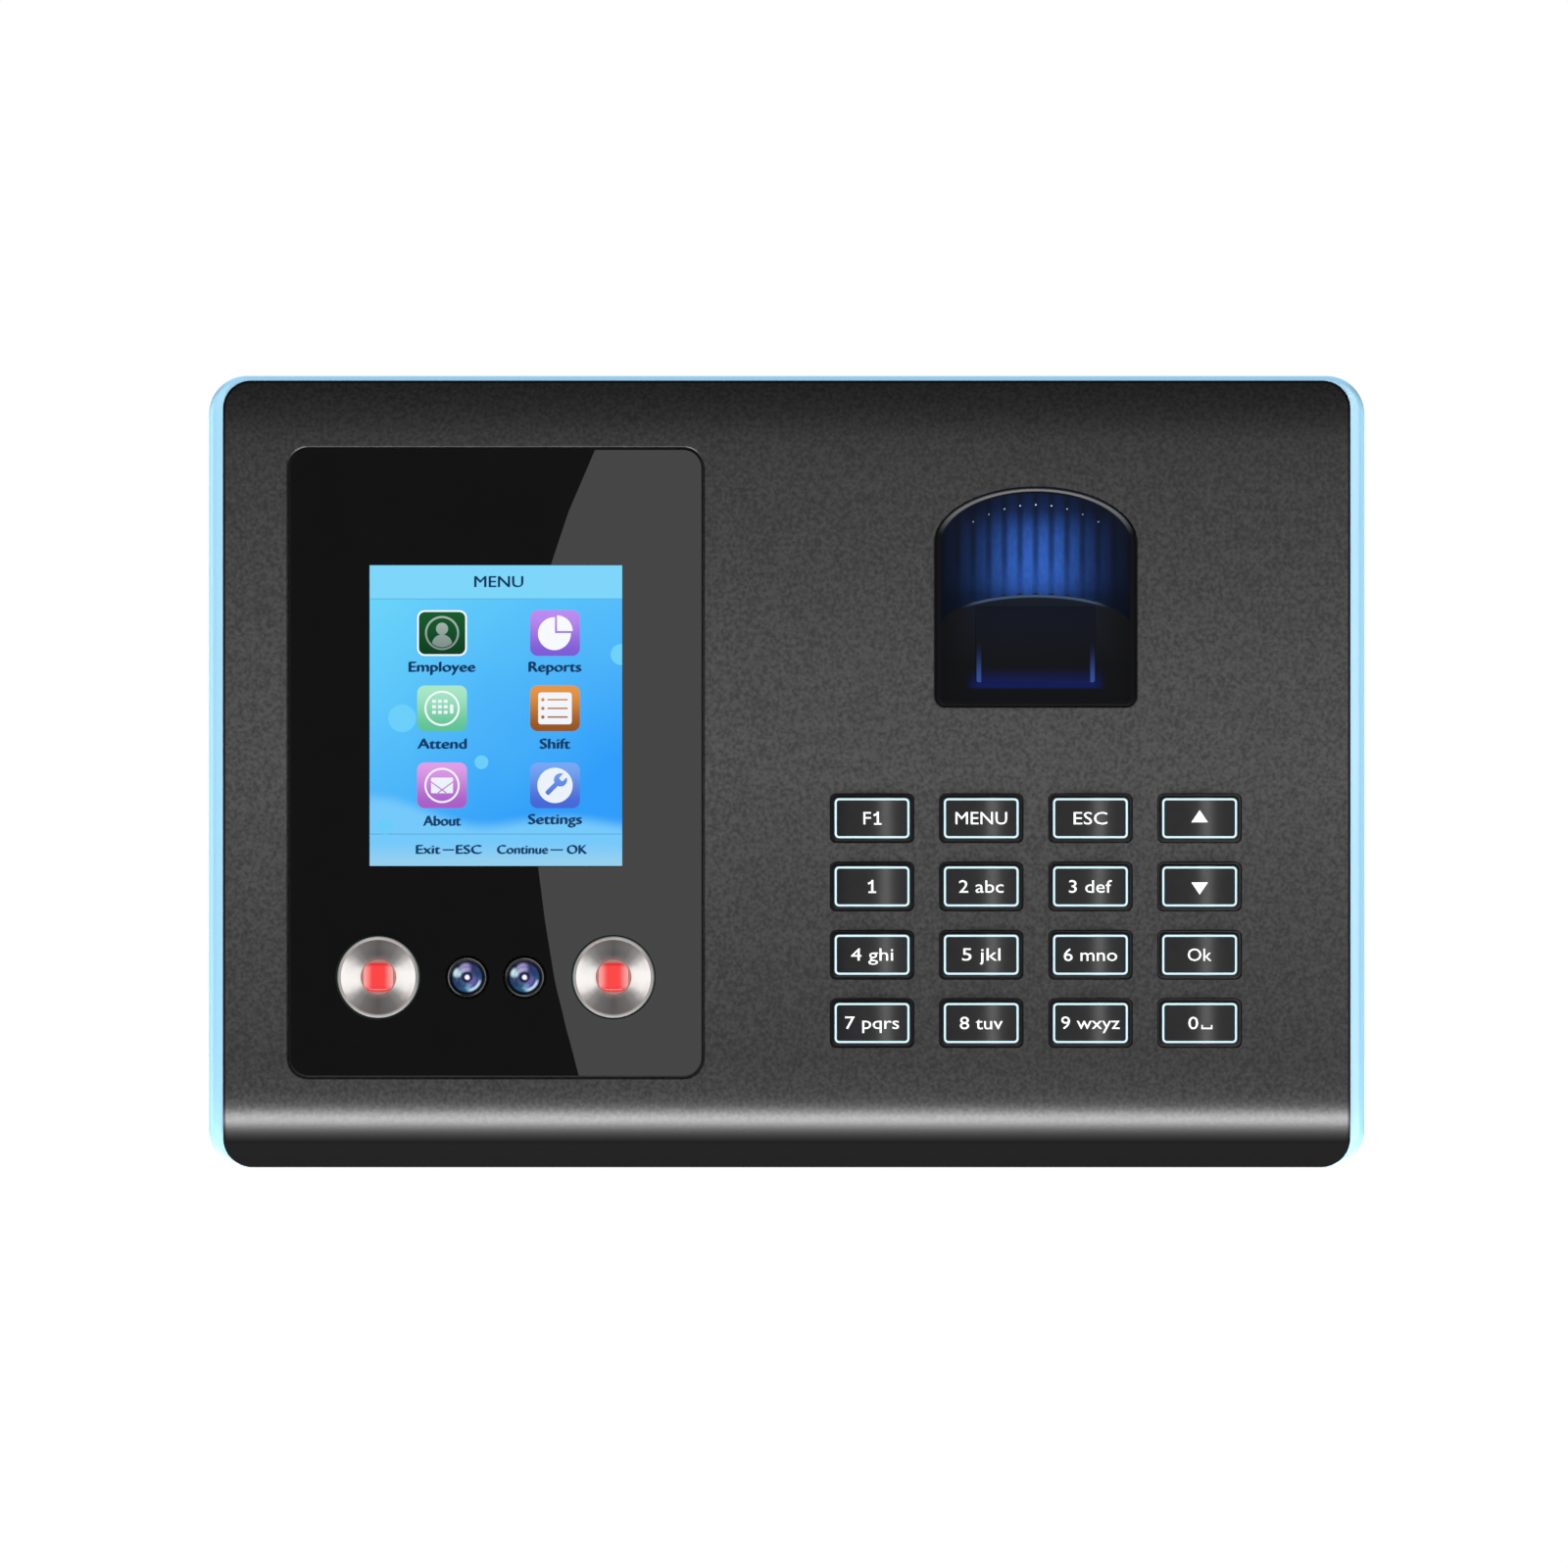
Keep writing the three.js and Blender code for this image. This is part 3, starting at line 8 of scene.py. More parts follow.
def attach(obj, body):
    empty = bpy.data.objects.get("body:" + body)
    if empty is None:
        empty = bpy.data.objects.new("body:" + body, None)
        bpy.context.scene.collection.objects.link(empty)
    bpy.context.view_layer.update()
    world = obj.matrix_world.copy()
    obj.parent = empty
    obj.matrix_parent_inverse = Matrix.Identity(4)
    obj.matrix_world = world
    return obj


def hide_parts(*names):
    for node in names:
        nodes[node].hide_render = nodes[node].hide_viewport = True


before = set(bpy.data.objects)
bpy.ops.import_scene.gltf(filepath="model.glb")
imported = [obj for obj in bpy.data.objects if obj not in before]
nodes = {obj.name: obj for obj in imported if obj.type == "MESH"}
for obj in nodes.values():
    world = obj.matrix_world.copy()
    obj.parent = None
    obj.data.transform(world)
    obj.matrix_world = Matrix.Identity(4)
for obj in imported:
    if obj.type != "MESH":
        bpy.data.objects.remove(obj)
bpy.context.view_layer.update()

# ---------------------------------------------------------------- front cover
# The front cover is moulded in ABS and sprayed dark grey with a fine metallic fleck. Its face rolls back
# at the top and turns under at the bottom, and six screws pull it onto the rear cover from behind.
# Sizes are in millimetres, and a depth is a distance out from the wall. A mesh is scaled to metres last.

SCREWS = [(x, z) for x in (-88.5, 88.5) for z in (54.0, 2.0, -50.0)]
KEY_XS = [14.73, 33.57, 52.41, 71.25]
KEY_ZS = [-8.06, -19.84, -31.62, -43.4]
PANEL_X = -50.2
EYES_Z = -35.5
LAMP_XS = [PANEL_X - 20.3, PANEL_X + 20.3]
CAMERA_XS = [PANEL_X - 4.95, PANEL_X + 4.95]
READER_X = 42.99
LAMP_HOLE, CAMERA_HOLE = 7.3, 3.8
NOSE, ROLL = (24.5, -55.1), (16, 56.5)  # centres, (depth, height), of the round at the bottom and at the top


def block(x, d, z, corner=0.0, steps=6, along=1):
    """A block between limits across, in depth and in height, with its edges along one axis rounded."""
    made = bmesh.new()
    bmesh.ops.create_cube(made, size=1)
    size = (x[1] - x[0], d[1] - d[0], z[1] - z[0])
    bmesh.ops.scale(made, vec=size, verts=made.verts)
    bmesh.ops.translate(made, vec=((x[0] + x[1]) / 2, -(d[0] + d[1]) / 2, (z[0] + z[1]) / 2), verts=made.verts)
    if corner:
        edges = [e for e in made.edges if abs((e.verts[1].co - e.verts[0].co).normalized()[along]) > 0.9]
        soften(made, edges, corner, steps)
    return made


def centred(x, z, wide, tall, d, corner=0.0, steps=6):
    """A block that reaches as far to each side of a point in the front view, and as far up as down."""
    return block((x - wide, x + wide), d, (z - tall, z + tall), corner, steps)


def soften(made, edges, width, steps=3):
    """Rounds edges of a bmesh."""
    bmesh.ops.bevel(made, geom=edges, offset=width, offset_type="OFFSET", segments=steps, profile=0.5,
                    affect="EDGES", clamp_overlap=True, material=-1)


def creases(made, angle=30.0, test=None):
    """The edges where a bmesh turns by more than an angle, and whose middle passes a test if there is one."""
    found = []
    for edge in made.edges:
        if len(edge.link_faces) == 2 and edge.calc_face_angle(0.0) > math.radians(angle):
            middle = (edge.verts[0].co + edge.verts[1].co) / 2
            if test is None or test(middle):
                found.append(edge)
    return found


def rod(x, z, r, d, sides=32, tip=None):
    """A round rod or cone that stands out from the wall between two depths."""
    made = bmesh.new()
    bmesh.ops.create_cone(made, cap_ends=True, segments=sides, radius1=r, radius2=r if tip is None else tip,
                          depth=d[1] - d[0])
    bmesh.ops.rotate(made, cent=(0, 0, 0), matrix=Matrix.Rotation(math.radians(90), 3, "X"), verts=made.verts)
    bmesh.ops.translate(made, vec=(x, -(d[0] + d[1]) / 2, z), verts=made.verts)
    return made


def side_view(path, x):
    """An outline seen from the side, pushed out between two limits across.

    It has points (depth, height) and arcs (centre, degrees, steps).
    """
    made = bmesh.new()
    first = last = made.verts.new((x[0], -path[0][0], path[0][1]))
    for part in path[1:]:
        if len(part) == 2:
            step = made.verts.new((x[0], -part[0], part[1]))
            made.edges.new((last, step))
            last = step
        else:
            centre, turn, steps = part
            swept = bmesh.ops.spin(made, geom=[last], cent=(x[0], -centre[0], centre[1]), axis=(1, 0, 0),
                                   angle=math.radians(turn), steps=steps, use_duplicate=False)
            last = swept["geom_last"][0]
    made.edges.new((last, first))
    bmesh.ops.contextual_create(made, geom=made.edges[:])
    pushed = bmesh.ops.extrude_face_region(made, geom=made.faces[:])["geom"]
    bmesh.ops.translate(made, vec=(x[1] - x[0], 0, 0),
                        verts=[v for v in pushed if isinstance(v, bmesh.types.BMVert)])
    bmesh.ops.recalc_face_normals(made, faces=made.faces[:])
    return made


def gathered(*parts):
    """Several bmeshes as one, each still its own shell."""
    whole = bmesh.new()
    for part in parts:
        mesh = bpy.data.meshes.new("part")
        part.to_mesh(mesh)
        part.free()
        whole.from_mesh(mesh)
        bpy.data.meshes.remove(mesh)
    return whole


def worked(body, how, *tools):
    """The bmesh that is left when tools are taken from a body, joined to it or shared with it."""
    def bench(part):
        mesh = bpy.data.meshes.new("bench")
        part.to_mesh(mesh)
        part.free()
        item = bpy.data.objects.new("bench", mesh)
        bpy.context.collection.objects.link(item)
        return item

    items = [bench(part) for part in (body, *tools)]
    for tool in items[1:]:
        step = items[0].modifiers.new("step", "BOOLEAN")
        step.operation, step.solver, step.object = how, "MANIFOLD", tool
    bpy.context.view_layer.update()
    graph = bpy.context.evaluated_depsgraph_get()
    mesh = bpy.data.meshes.new_from_object(items[0].evaluated_get(graph))
    made = bmesh.new()
    made.from_mesh(mesh)
    bpy.data.meshes.remove(mesh)
    for item in items:
        old = item.data
        bpy.data.objects.remove(item)
        bpy.data.meshes.remove(old)
    bmesh.ops.remove_doubles(made, verts=made.verts[:], dist=2e-4)
    bmesh.ops.dissolve_degenerate(made, dist=1e-4, edges=made.edges[:])
    return made


def placed(made, name, body, finishes, stands_for=(), sharp=32.0, even=True):
    """A bmesh in millimetres as a finished piece in metres, which rides on a body."""
    bmesh.ops.scale(made, vec=(0.001,) * 3, verts=made.verts)
    mesh = bpy.data.meshes.new(name)
    made.to_mesh(mesh)
    made.free()
    for finish in finishes:
        mesh.materials.append(finish)
    mesh.shade_smooth()
    mesh.set_sharp_from_angle(angle=math.radians(sharp))
    piece = bpy.data.objects.new(name, mesh)
    bpy.context.collection.objects.link(piece)
    if even:
        weighted = piece.modifiers.new("even", "WEIGHTED_NORMAL")
        weighted.keep_sharp = True
    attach(piece, body)
    if stands_for:
        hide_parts(*stands_for)
    return piece


class Flow:
    """One socket of a node tree. A sum written on it adds the Math nodes."""

    def __init__(self, tree, socket=None):
        self.tree, self.socket = tree, socket

    def node(self, kind, settings=None, inputs=None, out=0):
        made = self.tree.nodes.new(kind)
        for key, value in (settings or {}).items():
            if key == "stops":
                ramp = made.color_ramp.elements
                while len(ramp) < len(value):
                    ramp.new(0.5)
                for stop, (at, colour) in zip(ramp, value):
                    stop.position, stop.color = at, colour
            else:
                setattr(made, key, value)
        for key, value in (inputs or {}).items():
            if isinstance(value, Flow):
                self.tree.links.new(value.socket, made.inputs[key])
            else:
                made.inputs[key].default_value = value
        return Flow(self.tree, made.outputs[out] if made.outputs else None)

    def sum(self, operation, *values):
        return self.node("ShaderNodeMath", {"operation": operation}, dict(enumerate(values)))

    def __add__(self, other):
        return self.sum("ADD", self, other)

    __radd__ = __add__

    def __sub__(self, other):
        return self.sum("SUBTRACT", self, other)

    def __rsub__(self, other):
        return self.sum("SUBTRACT", other, self)

    def __mul__(self, other):
        return self.sum("MULTIPLY", self, other)

    __rmul__ = __mul__

    def __truediv__(self, other):
        return self.sum("DIVIDE", self, other)

    def __gt__(self, other):
        return self.sum("GREATER_THAN", self, other)

    def __lt__(self, other):
        return self.sum("LESS_THAN", self, other)

    def __abs__(self):
        return self.sum("ABSOLUTE", self)

    def clear(self):
        return self.node("ShaderNodeClamp", {}, {"Value": self})

    def rise(self, low, high):
        """0 below one value, 1 above another, and smooth between."""
        return self.node("ShaderNodeMapRange", {"interpolation_type": "SMOOTHSTEP"},
                         {"Value": self, "From Min": low, "From Max": high})

    def colour(self, first, second):
        """A colour between two, by this value."""
        return self.node("ShaderNodeMix", {"data_type": "RGBA"}, {0: self, 6: first, 7: second}, 2)

    def bump(self, depth, strength=1.0):
        """A normal that this height raises, with its depth in metres."""
        return self.node("ShaderNodeBump", {}, {"Strength": strength, "Distance": depth, "Height": self})


def material(name):
    """A new material's flow, and its points in millimetres from the middle of the case's back."""
    made = bpy.data.materials.new(name)
    made.use_nodes = True
    made.node_tree.nodes.clear()
    flow = Flow(made.node_tree)
    flow.material = made
    return flow, millimetres(flow)


def millimetres(flow, centre=(0, 0, 0), turn=(0, 0, 0), unit=(0.001, 0.001, 0.001)):
    """Object coordinates in millimetres from a centre, which is (across, depth, height)."""
    where = flow.node("ShaderNodeTexCoord", out=3)
    home = (centre[0] / 1000, -centre[1] / 1000, centre[2] / 1000)
    return flow.node("ShaderNodeMapping", {"vector_type": "TEXTURE"},
                     {"Vector": where, "Location": home, "Rotation": turn, "Scale": unit})


def noise(flow, where, scale, detail=2.0, rough=0.5):
    return flow.node("ShaderNodeTexNoise", {},
                     {"Vector": where, "Scale": scale, "Detail": detail, "Roughness": rough})


def axes(flow, where):
    """A point's three coordinates: across, minus depth, height."""
    split = flow.node("ShaderNodeSeparateXYZ", {}, {"Vector": where})
    parts = split.socket.node.outputs
    return [Flow(flow.tree, parts[i]) for i in range(3)]


def finished(flow, sockets):
    """Ends a material in one Principled shader."""
    shader = flow.node("ShaderNodeBsdfPrincipled", {}, sockets)
    flow.node("ShaderNodeOutputMaterial", {}, {"Surface": shader})
    return flow.material


def speckled(name, grain, dark, light, rough, spread=0.0, fine=1.0, more=None, detail=2.0):
    """A plain finish with colour that wanders between two shades, and gloss that wanders by a spread."""
    flow, where = material(name)
    gloss = rough + spread * noise(flow, where, fine) if spread else rough
    tint = noise(flow, where, grain, detail).colour(dark, light)
    return finished(flow, {"Base Color": tint, "Roughness": gloss, **(more or {})})


def srgb(red, green, blue):
    """A colour given in 0 to 255 steps, in the shader's own light values."""
    line = [v / 255 / 12.92 if v <= 10 else ((v / 255 + 0.055) / 1.055) ** 2.4 for v in (red, green, blue)]
    return (*line, 1.0)


def arch(inset, d, low=11.4):
    """The reader's outline between two depths: half an ellipse on straight sides, with small round feet."""
    made = bmesh.new()
    half, rise, spring = 17.2 - inset, 9.3 - inset, 39.6
    first = made.verts.new((READER_X + half, -d[0], spring))
    swept = bmesh.ops.spin(made, geom=[first], cent=(READER_X, -d[0], spring), axis=(0, -1, 0),
                           angle=math.pi, steps=40, use_duplicate=False)
    last = swept["geom_last"][0]
    bmesh.ops.scale(made, vec=(1, 1, rise / half), space=Matrix.Translation((0, 0, -spring)), verts=made.verts)
    feet = [made.verts.new((READER_X + side * half, -d[0], low + inset)) for side in (-1, 1)]
    for ends in ((last, feet[0]), (feet[0], feet[1]), (feet[1], first)):
        made.edges.new(ends)
    bmesh.ops.contextual_create(made, geom=made.edges[:])
    bmesh.ops.bevel(made, geom=feet, offset=max(1.7 - inset, 0.5), offset_type="OFFSET", segments=6,
                    profile=0.5,
                    affect="VERTICES", material=-1)
    pushed = bmesh.ops.extrude_face_region(made, geom=made.faces[:])["geom"]
    bmesh.ops.translate(made, vec=(0, d[0] - d[1], 0),
                        verts=[v for v in pushed if isinstance(v, bmesh.types.BMVert)])
    bmesh.ops.recalc_face_normals(made, faces=made.faces[:])
    return made


def mouthed(made, front, grow):
    """A cutter whose front end flares, so that the hole it cuts has a chamfered rim."""
    made.faces.ensure_lookup_table()
    cap = min(made.faces, key=lambda f: f.calc_center_median().y)
    middle = cap.calc_center_median()
    reach = max(abs(v.co.x - middle.x) for v in cap.verts), max(abs(v.co.z - middle.z) for v in cap.verts)
    out = bmesh.ops.extrude_face_region(made, geom=[cap])["geom"]
    moved = [v for v in out if isinstance(v, bmesh.types.BMVert)]
    bmesh.ops.delete(made, geom=[cap], context="FACES_ONLY")
    bmesh.ops.translate(made, vec=(0, -front, 0), verts=moved)
    bmesh.ops.scale(made, vec=((reach[0] + grow) / reach[0], 1, (reach[1] + grow) / reach[1]),
                    space=Matrix.Translation((-middle.x, 0, -middle.z)), verts=moved)
    bmesh.ops.recalc_face_normals(made, faces=made.faces[:])
    return made


face = side_view([(5, -70.2), (26.97, -64.27), (NOSE, -74.9, 22), (34, 56.5), (ROLL, -37.67, 16), (30.24, 70),
                  (5, 70)], (-110, 110))
cover = worked(face, "INTERSECT", block((-97.3, 97.3), (11.3, 40), (-68.5, 67.5), 4.8, 12))
soften(cover, creases(cover, 28, lambda p: p.y < -11.6), 0.9, 4)
hollow = worked(
    side_view([(5, -67.71), (26.35, -61.96), (NOSE, -74.9, 12), (31.6, 56.5), (ROLL, -33.45, 8), (28.9, 66),
               (5, 66)], (-110, 110)),
    "INTERSECT", block((-94.9, 94.9), (9, 40), (-66.1, 65.1), 2.4, 5))
cover = worked(cover, "DIFFERENCE", hollow)
cover = worked(cover, "UNION", block((-87.9, -12.5), (30.6, 31.9), (-54.7, 57.7), 5.4, 8),
               gathered(*[rod(x, z, 3.2, (12.3, 31.9), 32) for x, z in SCREWS]))
for stakes, plate, back in (([(x, z) for x in (24.15, 61.83) for z in (-37.51, -13.95)], (27.6, 31.9), 26.0),
                            ([(-79.5, EYES_Z), (-20.9, EYES_Z)], (27.0, 30.9), 25.4)):  # heat stakes
    for x, z in stakes:
        cover = worked(cover, "UNION", rod(x, z, 1.7, (plate[0] + 0.3, plate[1]), 20),
                       rod(x, z, 1.1, (back - 0.8, plate[0] + 0.6), 20),
                       rod(x, z, 1.6, (back - 1.0, back - 0.3), 20, 1.3))
key_holes = [mouthed(centred(x, z, 7.15, 4.15, (29, 33.85), 1.05, 5), 0.5, 0.5)
             for x in KEY_XS for z in KEY_ZS]
cover = worked(cover, "DIFFERENCE",
               mouthed(block((-86.2, -14.2), (32.1, 33.85), (-53.0, 56.0), 3.7, 10), 0.5, 0.5),
               block((-73.0, -27.4), (28, 36), (-17.3, 36.6)),
               mouthed(arch(-0.3, (29, 33.85)), 0.5, 0.5),
               gathered(*[rod(x, EYES_Z, LAMP_HOLE, (28, 36), 48) for x in LAMP_XS],
                        *[rod(x, EYES_Z, CAMERA_HOLE, (28, 36), 32) for x in CAMERA_XS]),
               gathered(*key_holes),
               gathered(*[rod(x, z, 1.55, (9, 25), 20) for x, z in SCREWS]))

flow, where = material("cover_paint")
across, out, up = axes(flow, where)
fleck = noise(flow, where, 1.45, 2.0, 0.55)
fine = noise(flow, where, 6.0, 2.0)
grain = up.rise(-62, -55) + (1 - up.rise(-66, -64))
paint = ((fleck - 0.5) * (0.5 + 2.3 * grain) + 0.5).clear()
paint = paint.colour((0.045, 0.045, 0.046, 1), (0.094, 0.094, 0.095, 1))
# Painted light and shade by height: this ramp darkens the paint on the top roll and on the underside, and
# lightens it across the middle and in a band along the nose.
painted_light_by_height = [(-70, 0.06), (-64, 0.08), (-62, 0.55), (-60, 0.80), (-56, 0.68), (-50, 0.55), (-39, 0.62), (-25, 0.70),
         (0, 0.88), (18, 0.80), (36, 0.64), (50, 0.53), (57, 0.42), (61, 0.50), (65, 0.62), (70, 0.5)]
thick = flow.node("ShaderNodeValToRGB", {"stops": [((z + 70) / 140, (v, v, v, 1)) for z, v in painted_light_by_height]},
                  {"Fac": (up + 70) / 140})
# Painted shade: a thin near-black line round the front face, where it rolls away at the sides and the ends.
facing = flow.node("ShaderNodeSeparateXYZ", {}, {"Vector": flow.node("ShaderNodeNewGeometry", out=3)}, 1) * -1.0
side_by = abs(across) - 92.5
side_by = side_by.sum("MAXIMUM", side_by, 0)
end_by = abs(up + 0.5) - 63.2
end_by = end_by.sum("MAXIMUM", end_by, 0)
from_corner = side_by * side_by + end_by * end_by
painted_border_shade = from_corner.sum("SQRT", from_corner).rise(4.25, 4.45) * facing.rise(0.08, 0.2)
cover_paint = finished(flow, {
    "Base Color": painted_border_shade.colour(thick.colour((0, 0, 0, 1), paint), (0.004, 0.004, 0.005, 1)),
    "Roughness": 0.38 + 0.03 * fine,
    "Metallic": 0.6, "Normal": ((fleck * 0.7 + fine * 0.3) * grain).bump(0.00002, 0.2)})
# Painted shade: this near-black finish goes on the rounded sides and top edge of the cover and on the rims of
# the key holes, for the shade there and round each key.
painted_shade_black = speckled("painted_shade_black", 1.0, (0.004, 0.004, 0.0045, 1), (0.009, 0.009, 0.010, 1), 0.45, 0.1, 3.0,
                     {"Specular IOR Level": 0.08})
for side in cover.faces:
    at = side.calc_center_median()
    way = side.normal
    at_key = at.y < -33.2 and -48.5 < at.z < -3 and 6.8 < at.x < 79.2 and way.y > -0.98
    at_side = abs(at.x) > 96 and 0.3 < abs(way.x) < 0.999
    at_top = at.z > 67.0 and 0.7 < way.z < 0.99
    at_edge = way.y < -0.05 and (at_side or at_top)
    if at_key or at_edge:
        side.material_index = 1
placed(cover, "front_shell", "terminal", [cover_paint, painted_shade_black], ["front_cover"])

# ---------------------------------------------------------------- blue frame
# A pale blue ring of glossy polycarbonate, moulded in one piece. It is clamped between the two covers, and
# stands out past the front cover at the sides and the top. A fine lip inside it seats the front cover.

ring = block((-100, 100), (4.6, 11.0), (-68.5, 68.5), 6.6, 14)
soften(ring, creases(ring, 60), 0.9, 4)
ring = worked(ring, "DIFFERENCE", block((-94.8, 94.8), (2, 14), (-64.9, 64.9), 4.8, 10))
soften(ring, creases(ring, 60, lambda p: abs(p.x) < 95 and abs(p.z) < 65), 0.25, 2)

flow, where = material("blue_frame")
across, out, up = axes(flow, where)
cloud = noise(flow, where, 0.05, 1.0)
# Painted light: the ring glows faintly all over and more along its top. Toward its outer edge it is a darker
# blue.
outer = abs(across).rise(98.2, 99.4)
tint = outer.colour((0.43, 0.80, 1.0, 1), (0.36, 0.71, 0.92, 1))
blue_frame = finished(flow, {
    "Base Color": tint, "Roughness": 0.16 + 0.1 * cloud, "Coat Weight": 0.4, "Coat Roughness": 0.06,
    "Emission Color": outer.colour((0.34, 0.68, 1.0, 1), (0.26, 0.57, 0.92, 1)),
    "Emission Strength": 0.15 + 0.40 * up.rise(65.5, 68),
    "Normal": noise(flow, where, 0.6, 1.0).bump(0.00002, 0.4)})
placed(ring, "blue_ring", "terminal", [blue_frame], ["mid_frame"])

# ---------------------------------------------------------------- rear cover
# A tray in black ABS with a spark-eroded grain, moulded with screw bosses, board standoffs, hook slots, a
# connector bay and a speaker grille. Its tongue goes inside the front cover, and its flange backs the ring.

HOOK_XS, HOOK_ZS = (-38.0, 38.0), (30.0, -16.0)
SPEAKER_X, SPEAKER_Z = 72.0, -32.0
STANDOFFS = [(x, z) for x in (-74.0, 15.79) for z in (-22.9, 44.0)]
BAY_X = -10.0

flange = block((-97, 97), (2, 4.3), (-65.5, 65.5), 4.8, 12)
soften(flange, creases(flange, 60, lambda p: p.y > -2.1), 0.8, 3)
tray = worked(flange, "UNION", block((-94.5, 94.5), (2.2, 13.8), (-64.6, 64.6), 4.8, 10))
tray = worked(tray, "DIFFERENCE", block((-92.3, 92.3), (4.2, 16), (-62.4, 62.4), 2.6, 6))
tray = worked(tray, "UNION",
              block((-37.8, 17.8), (3, 21.6), (-61.8, -29.2), 1.0, 3),
              rod(6, 8, 3.8, (3, 12.0), 32),
              worked(rod(SPEAKER_X, SPEAKER_Z, 15.0, (3, 7.2), 48), "DIFFERENCE",
                     rod(SPEAKER_X, SPEAKER_Z, 13.8, (2, 9), 48)),
              gathered(*[block((x, x + 1.2), (3, 7.2), (-5, 21)) for x in (-83.0, -48.2)]),
              gathered(*[rod(x, z, 4.2, (3, 12.0), 32) for x, z in SCREWS],
                       *[rod(x, z, 3.0, (3, 18.2), 24) for x, z in STANDOFFS]),
              gathered(*[rod(x, z, 1.2, (17, 20.8), 20, 0.9) for x, z in (STANDOFFS[0], STANDOFFS[3])]))
sockets = [(-24.0, 16.0, 13.3), (-8.2, 13.2, 5.8), (4.6, 9.0, 11.0)]
grille = []
for i in range(5):
    z = SPEAKER_Z - 7.2 + 3.6 * i
    wide = math.sqrt(13.5 ** 2 - (z - SPEAKER_Z) ** 2) - 3
    grille.append(block((SPEAKER_X - wide, SPEAKER_X + wide), (1, 6), (z - 0.8, z + 0.8), 0.78, 4))
tray = worked(tray, "DIFFERENCE",
              block((-36, 16), (0, 19.8), (-60, -31), 0.8, 3),
              block((BAY_X - 4.7, BAY_X + 4.7), (0, 7), (-72, -58), 1.0, 3, 2),
              rod(6, 8, 2.1, (0, 16), 32),
              gathered(*[block((x - w / 2 - 0.3, x + w / 2 + 0.3), (18.2 - d - 0.3, 18.5), (-33, -27.2)) for x,
                         w, d in sockets]),
              gathered(*[block((x - 5.3, x + 5.3), (0, 7), (z - 9.8, z + 0.3), 0.8, 3) for x in HOOK_XS
                         for z in HOOK_ZS]),
              gathered(*[rod(x, z, 1.7, (1, 14), 24) for x, z in SCREWS]),
              gathered(*[rod(x, z, 3.0, (0.5, 4.6), 40) for x, z in SCREWS]),
              gathered(*[rod(x, z, 1.3, (10.2, 20), 20) for x, z in (STANDOFFS[1], STANDOFFS[2])]),
              gathered(*grille))
rims = creases(tray, 60, lambda p: abs(p.y + 2) < 0.02 and abs(p.x) < 96 and -64.5 < p.z < 65)
soften(tray, rims, 0.25, 2)

flow, where = material("rear_black")
pits = noise(flow, where, 2.6, 3.0, 0.6)
haze = noise(flow, where, 0.04, 2.0)
rear_black = finished(flow, {
    "Base Color": (pits * 0.7 + haze * 0.3).colour((0.010, 0.010, 0.011, 1), (0.024, 0.024, 0.025, 1)),
    "Roughness": 0.42 + 0.22 * pits, "Normal": pits.bump(0.00006, 0.6)})
placed(tray, "rear_tray", "terminal", [rear_black], ["rear_cover"])

# ---------------------------------------------------------------- wall plate
# A 1.5 mm zinc-plated steel sheet, punched and folded. Its four hooks are bent out of their own windows,
# and its screw holes are countersunk. It is screwed to the wall, and the terminal drops onto its hooks.

sheet = block((-55, 55), (0, 1.5), (-50, 45), 5, 10)
soften(sheet, creases(sheet, 60, lambda p: p.y < -1.4 or p.y > -0.1), 0.15, 2)
sheet = worked(sheet, "DIFFERENCE",
               block((-34, 14), (-1, 3), (-46, -28), 2, 6),
               gathered(*[block((x - 5, x + 5), (-1, 3), (z, z + 10.2), 0.6, 3) for x in HOOK_XS
                          for z in HOOK_ZS]),
               gathered(*[rod(x, z, 2.5, (-1, 3), 32) for x in (-47, 47) for z in (-43, 38)]),
               gathered(*[rod(x, z, 2.4, (0.5, 1.6), 32, 3.9) for x in (-47, 47) for z in (-43, 38)]))
for x in HOOK_XS:
    for z in HOOK_ZS:
        hook = side_view([(0.2, z - 1.5), (4.4, z - 1.5), ((4.4, z + 0.1), -90, 6), (6.0, z + 6), (4.5, z + 6),
                          (4.5, z), (0.2, z)],
                         (x - 5, x + 5))
        soften(hook, creases(hook, 40, lambda p: p.z > z + 5.9), 0.3, 2)
        sheet = worked(sheet, "UNION", hook)

flow, where = material("zinc_plate")
spangle = flow.node("ShaderNodeTexVoronoi", {"feature": "F1"}, {"Vector": where, "Scale": 0.22}, 1)
grey = flow.node("ShaderNodeRGBToBW", {}, {"Color": spangle})
smear = noise(flow, millimetres(flow, unit=(0.001, 0.001, 0.012)), 1.6, 2.0)
zinc_plate = finished(flow, {
    "Base Color": (grey * 0.6 + smear * 0.4).colour((0.40, 0.41, 0.42, 1), (0.60, 0.61, 0.62, 1)),
    "Metallic": 1.0,
    "Roughness": 0.26 + 0.2 * grey + 0.08 * smear, "Normal": smear.bump(0.00002, 0.4)})
placed(sheet, "wall_bracket_sheet", "wall_bracket", [zinc_plate], ["wall_plate"])

# ---------------------------------------------------------------- window panel
# A 1.5 mm cast acrylic sheet, polished in front and printed black behind, apart from the window over the
# display. It is taped to a ledge in the front cover, and laser-cut round the lamps and the cameras.

